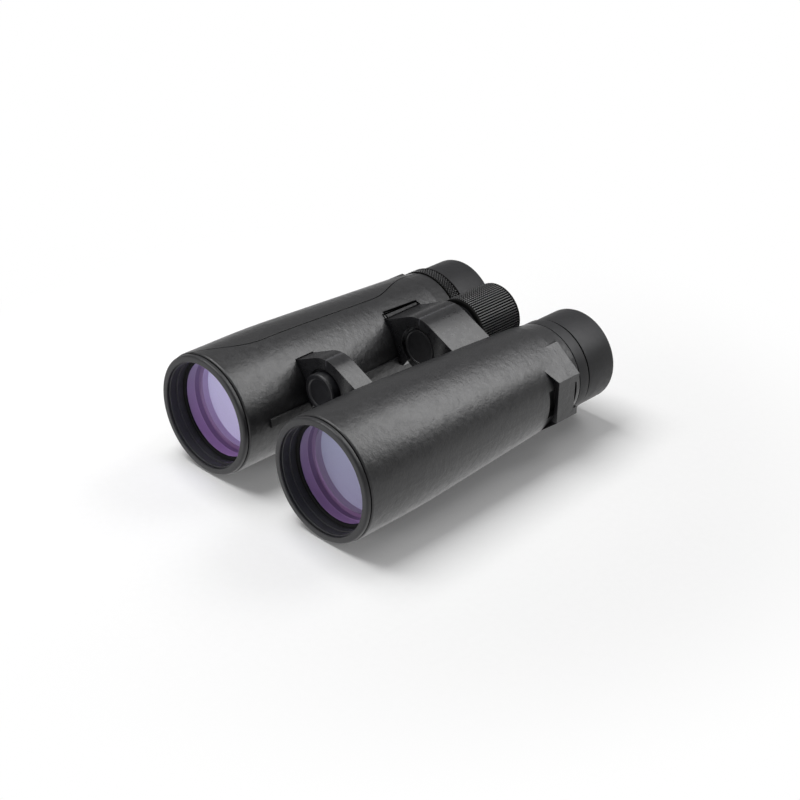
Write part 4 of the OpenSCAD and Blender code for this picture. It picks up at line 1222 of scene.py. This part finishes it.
def light_room(scene):
    """A dim room to matt surfaces, brighter walls in mirror images, white to the camera and through glass."""
    world = bpy.data.worlds.new("Studio")
    scene.world = world
    world.use_nodes = True
    tree = world.node_tree
    tree.nodes.clear()
    room, walls, white = (
        add(tree, "ShaderNodeBackground", {"Color": WHITE, "Strength": strength})
        for strength in (ROOM_LIGHT, WALL_LIGHT, 1.0)
    )
    path = add(tree, "ShaderNodeLightPath").outputs
    rooms = {0: path["Is Glossy Ray"], 1: room.outputs[0], 2: walls.outputs[0]}
    lit = add(tree, "ShaderNodeMixShader", rooms).outputs[0]
    straight = {"operation": "MAXIMUM", 0: path["Is Camera Ray"], 1: path["Is Transmission Ray"]}
    seen = add(tree, "ShaderNodeMath", straight).outputs[0]
    shader = add(tree, "ShaderNodeMixShader", {0: seen, 1: lit, 2: white.outputs[0]})
    add(tree, "ShaderNodeOutputWorld", {"Surface": shader.outputs[0]})


def hang_softboxes(scene):
    """Hangs each softbox by its two sides; it shines from the far side of their cross product."""
    for name, (place, along, across, size, power, seen) in SOFTBOXES.items():
        lamp = bpy.data.lights.new(f"{name} softbox", "AREA")
        lamp.shape = "RECTANGLE"
        lamp.size, lamp.size_y = size
        lamp.energy = power
        light = bpy.data.objects.new(f"{name} softbox", lamp)
        light.visible_camera = False
        light.visible_diffuse, light.visible_glossy = seen
        side = Vector(along).normalized()
        away = side.cross(Vector(across)).normalized()
        if away.dot(Vector(place)) < 0:
            raise RuntimeError(f"{name} softbox faces away from the binoculars")
        turned = Matrix((side, away.cross(side), away)).transposed().to_4x4()
        light.matrix_world = Matrix.Translation(place) @ turned
        scene.collection.objects.link(light)


def set_camera(scene):
    azimuth, elevation, roll = (math.radians(angle) for angle in CAMERA_TURN)
    flat = math.cos(elevation)
    back = Vector((math.sin(azimuth) * flat, -math.cos(azimuth) * flat, math.sin(elevation)))
    level = Vector((math.cos(azimuth), math.sin(azimuth), 0.0))
    upright = back.cross(level)
    right = math.cos(roll) * level - math.sin(roll) * upright
    up = math.sin(roll) * level + math.cos(roll) * upright
    lens = bpy.data.cameras.new("camera")
    lens.lens, lens.sensor_width, lens.clip_start = FOCAL_LENGTH, SENSOR_WIDTH, 10 * MM
    camera = bpy.data.objects.new("camera", lens)
    camera.matrix_world = Matrix.Translation(CAMERA_PLACE) @ Matrix((right, up, back)).transposed().to_4x4()
    scene.collection.objects.link(camera)
    scene.camera = camera
    scene.view_settings.view_transform = "Standard"


class BINO_OT_stage(bpy.types.Operator):
    """Lay the white paper, hang the soft lights and set up the camera"""

    bl_idname = "bino.stage"
    bl_label = "Stage"

    def execute(self, context):
        for step in (lay_floor, light_room, hang_softboxes, set_camera):
            step(context.scene)
        return {"FINISHED"}


OPERATORS = (
    BINO_OT_armour,
    BINO_OT_objective_rims,
    BINO_OT_objective_cells,
    BINO_OT_glass,
    BINO_OT_bridges,
    BINO_OT_focus_wheel,
    BINO_OT_eyepieces,
    BINO_OT_stage,
)


class BINO_PT_sidebar(bpy.types.Panel):
    """Sizes, colours and steps of the binoculars"""

    bl_idname = "BINO_PT_sidebar"
    bl_label = "Binoculars"
    bl_space_type = "VIEW_3D"
    bl_region_type = "UI"
    bl_category = "Binoculars"

    def draw(self, context):
        for group in (sizes(), colours()):
            box = self.layout.box()
            for name in group.__annotations__:
                box.prop(group, name)
        for operator in OPERATORS:
            self.layout.operator(operator.bl_idname)


CLASSES = (BinocularSizes, BinocularColours, *OPERATORS, BINO_PT_sidebar)


def register():
    for item in CLASSES:
        bpy.utils.register_class(item)
    bpy.types.Scene.binocular_sizes = bpy.props.PointerProperty(type=BinocularSizes)
    bpy.types.Scene.binocular_colours = bpy.props.PointerProperty(type=BinocularColours)


def unregister():
    del bpy.types.Scene.binocular_colours
    del bpy.types.Scene.binocular_sizes
    for item in reversed(CLASSES):
        bpy.utils.unregister_class(item)


def main():
    register()
    for operator in OPERATORS:
        group, name = operator.bl_idname.split(".")
        getattr(getattr(bpy.ops, group), name)()


if __name__ == "__main__":
    main()
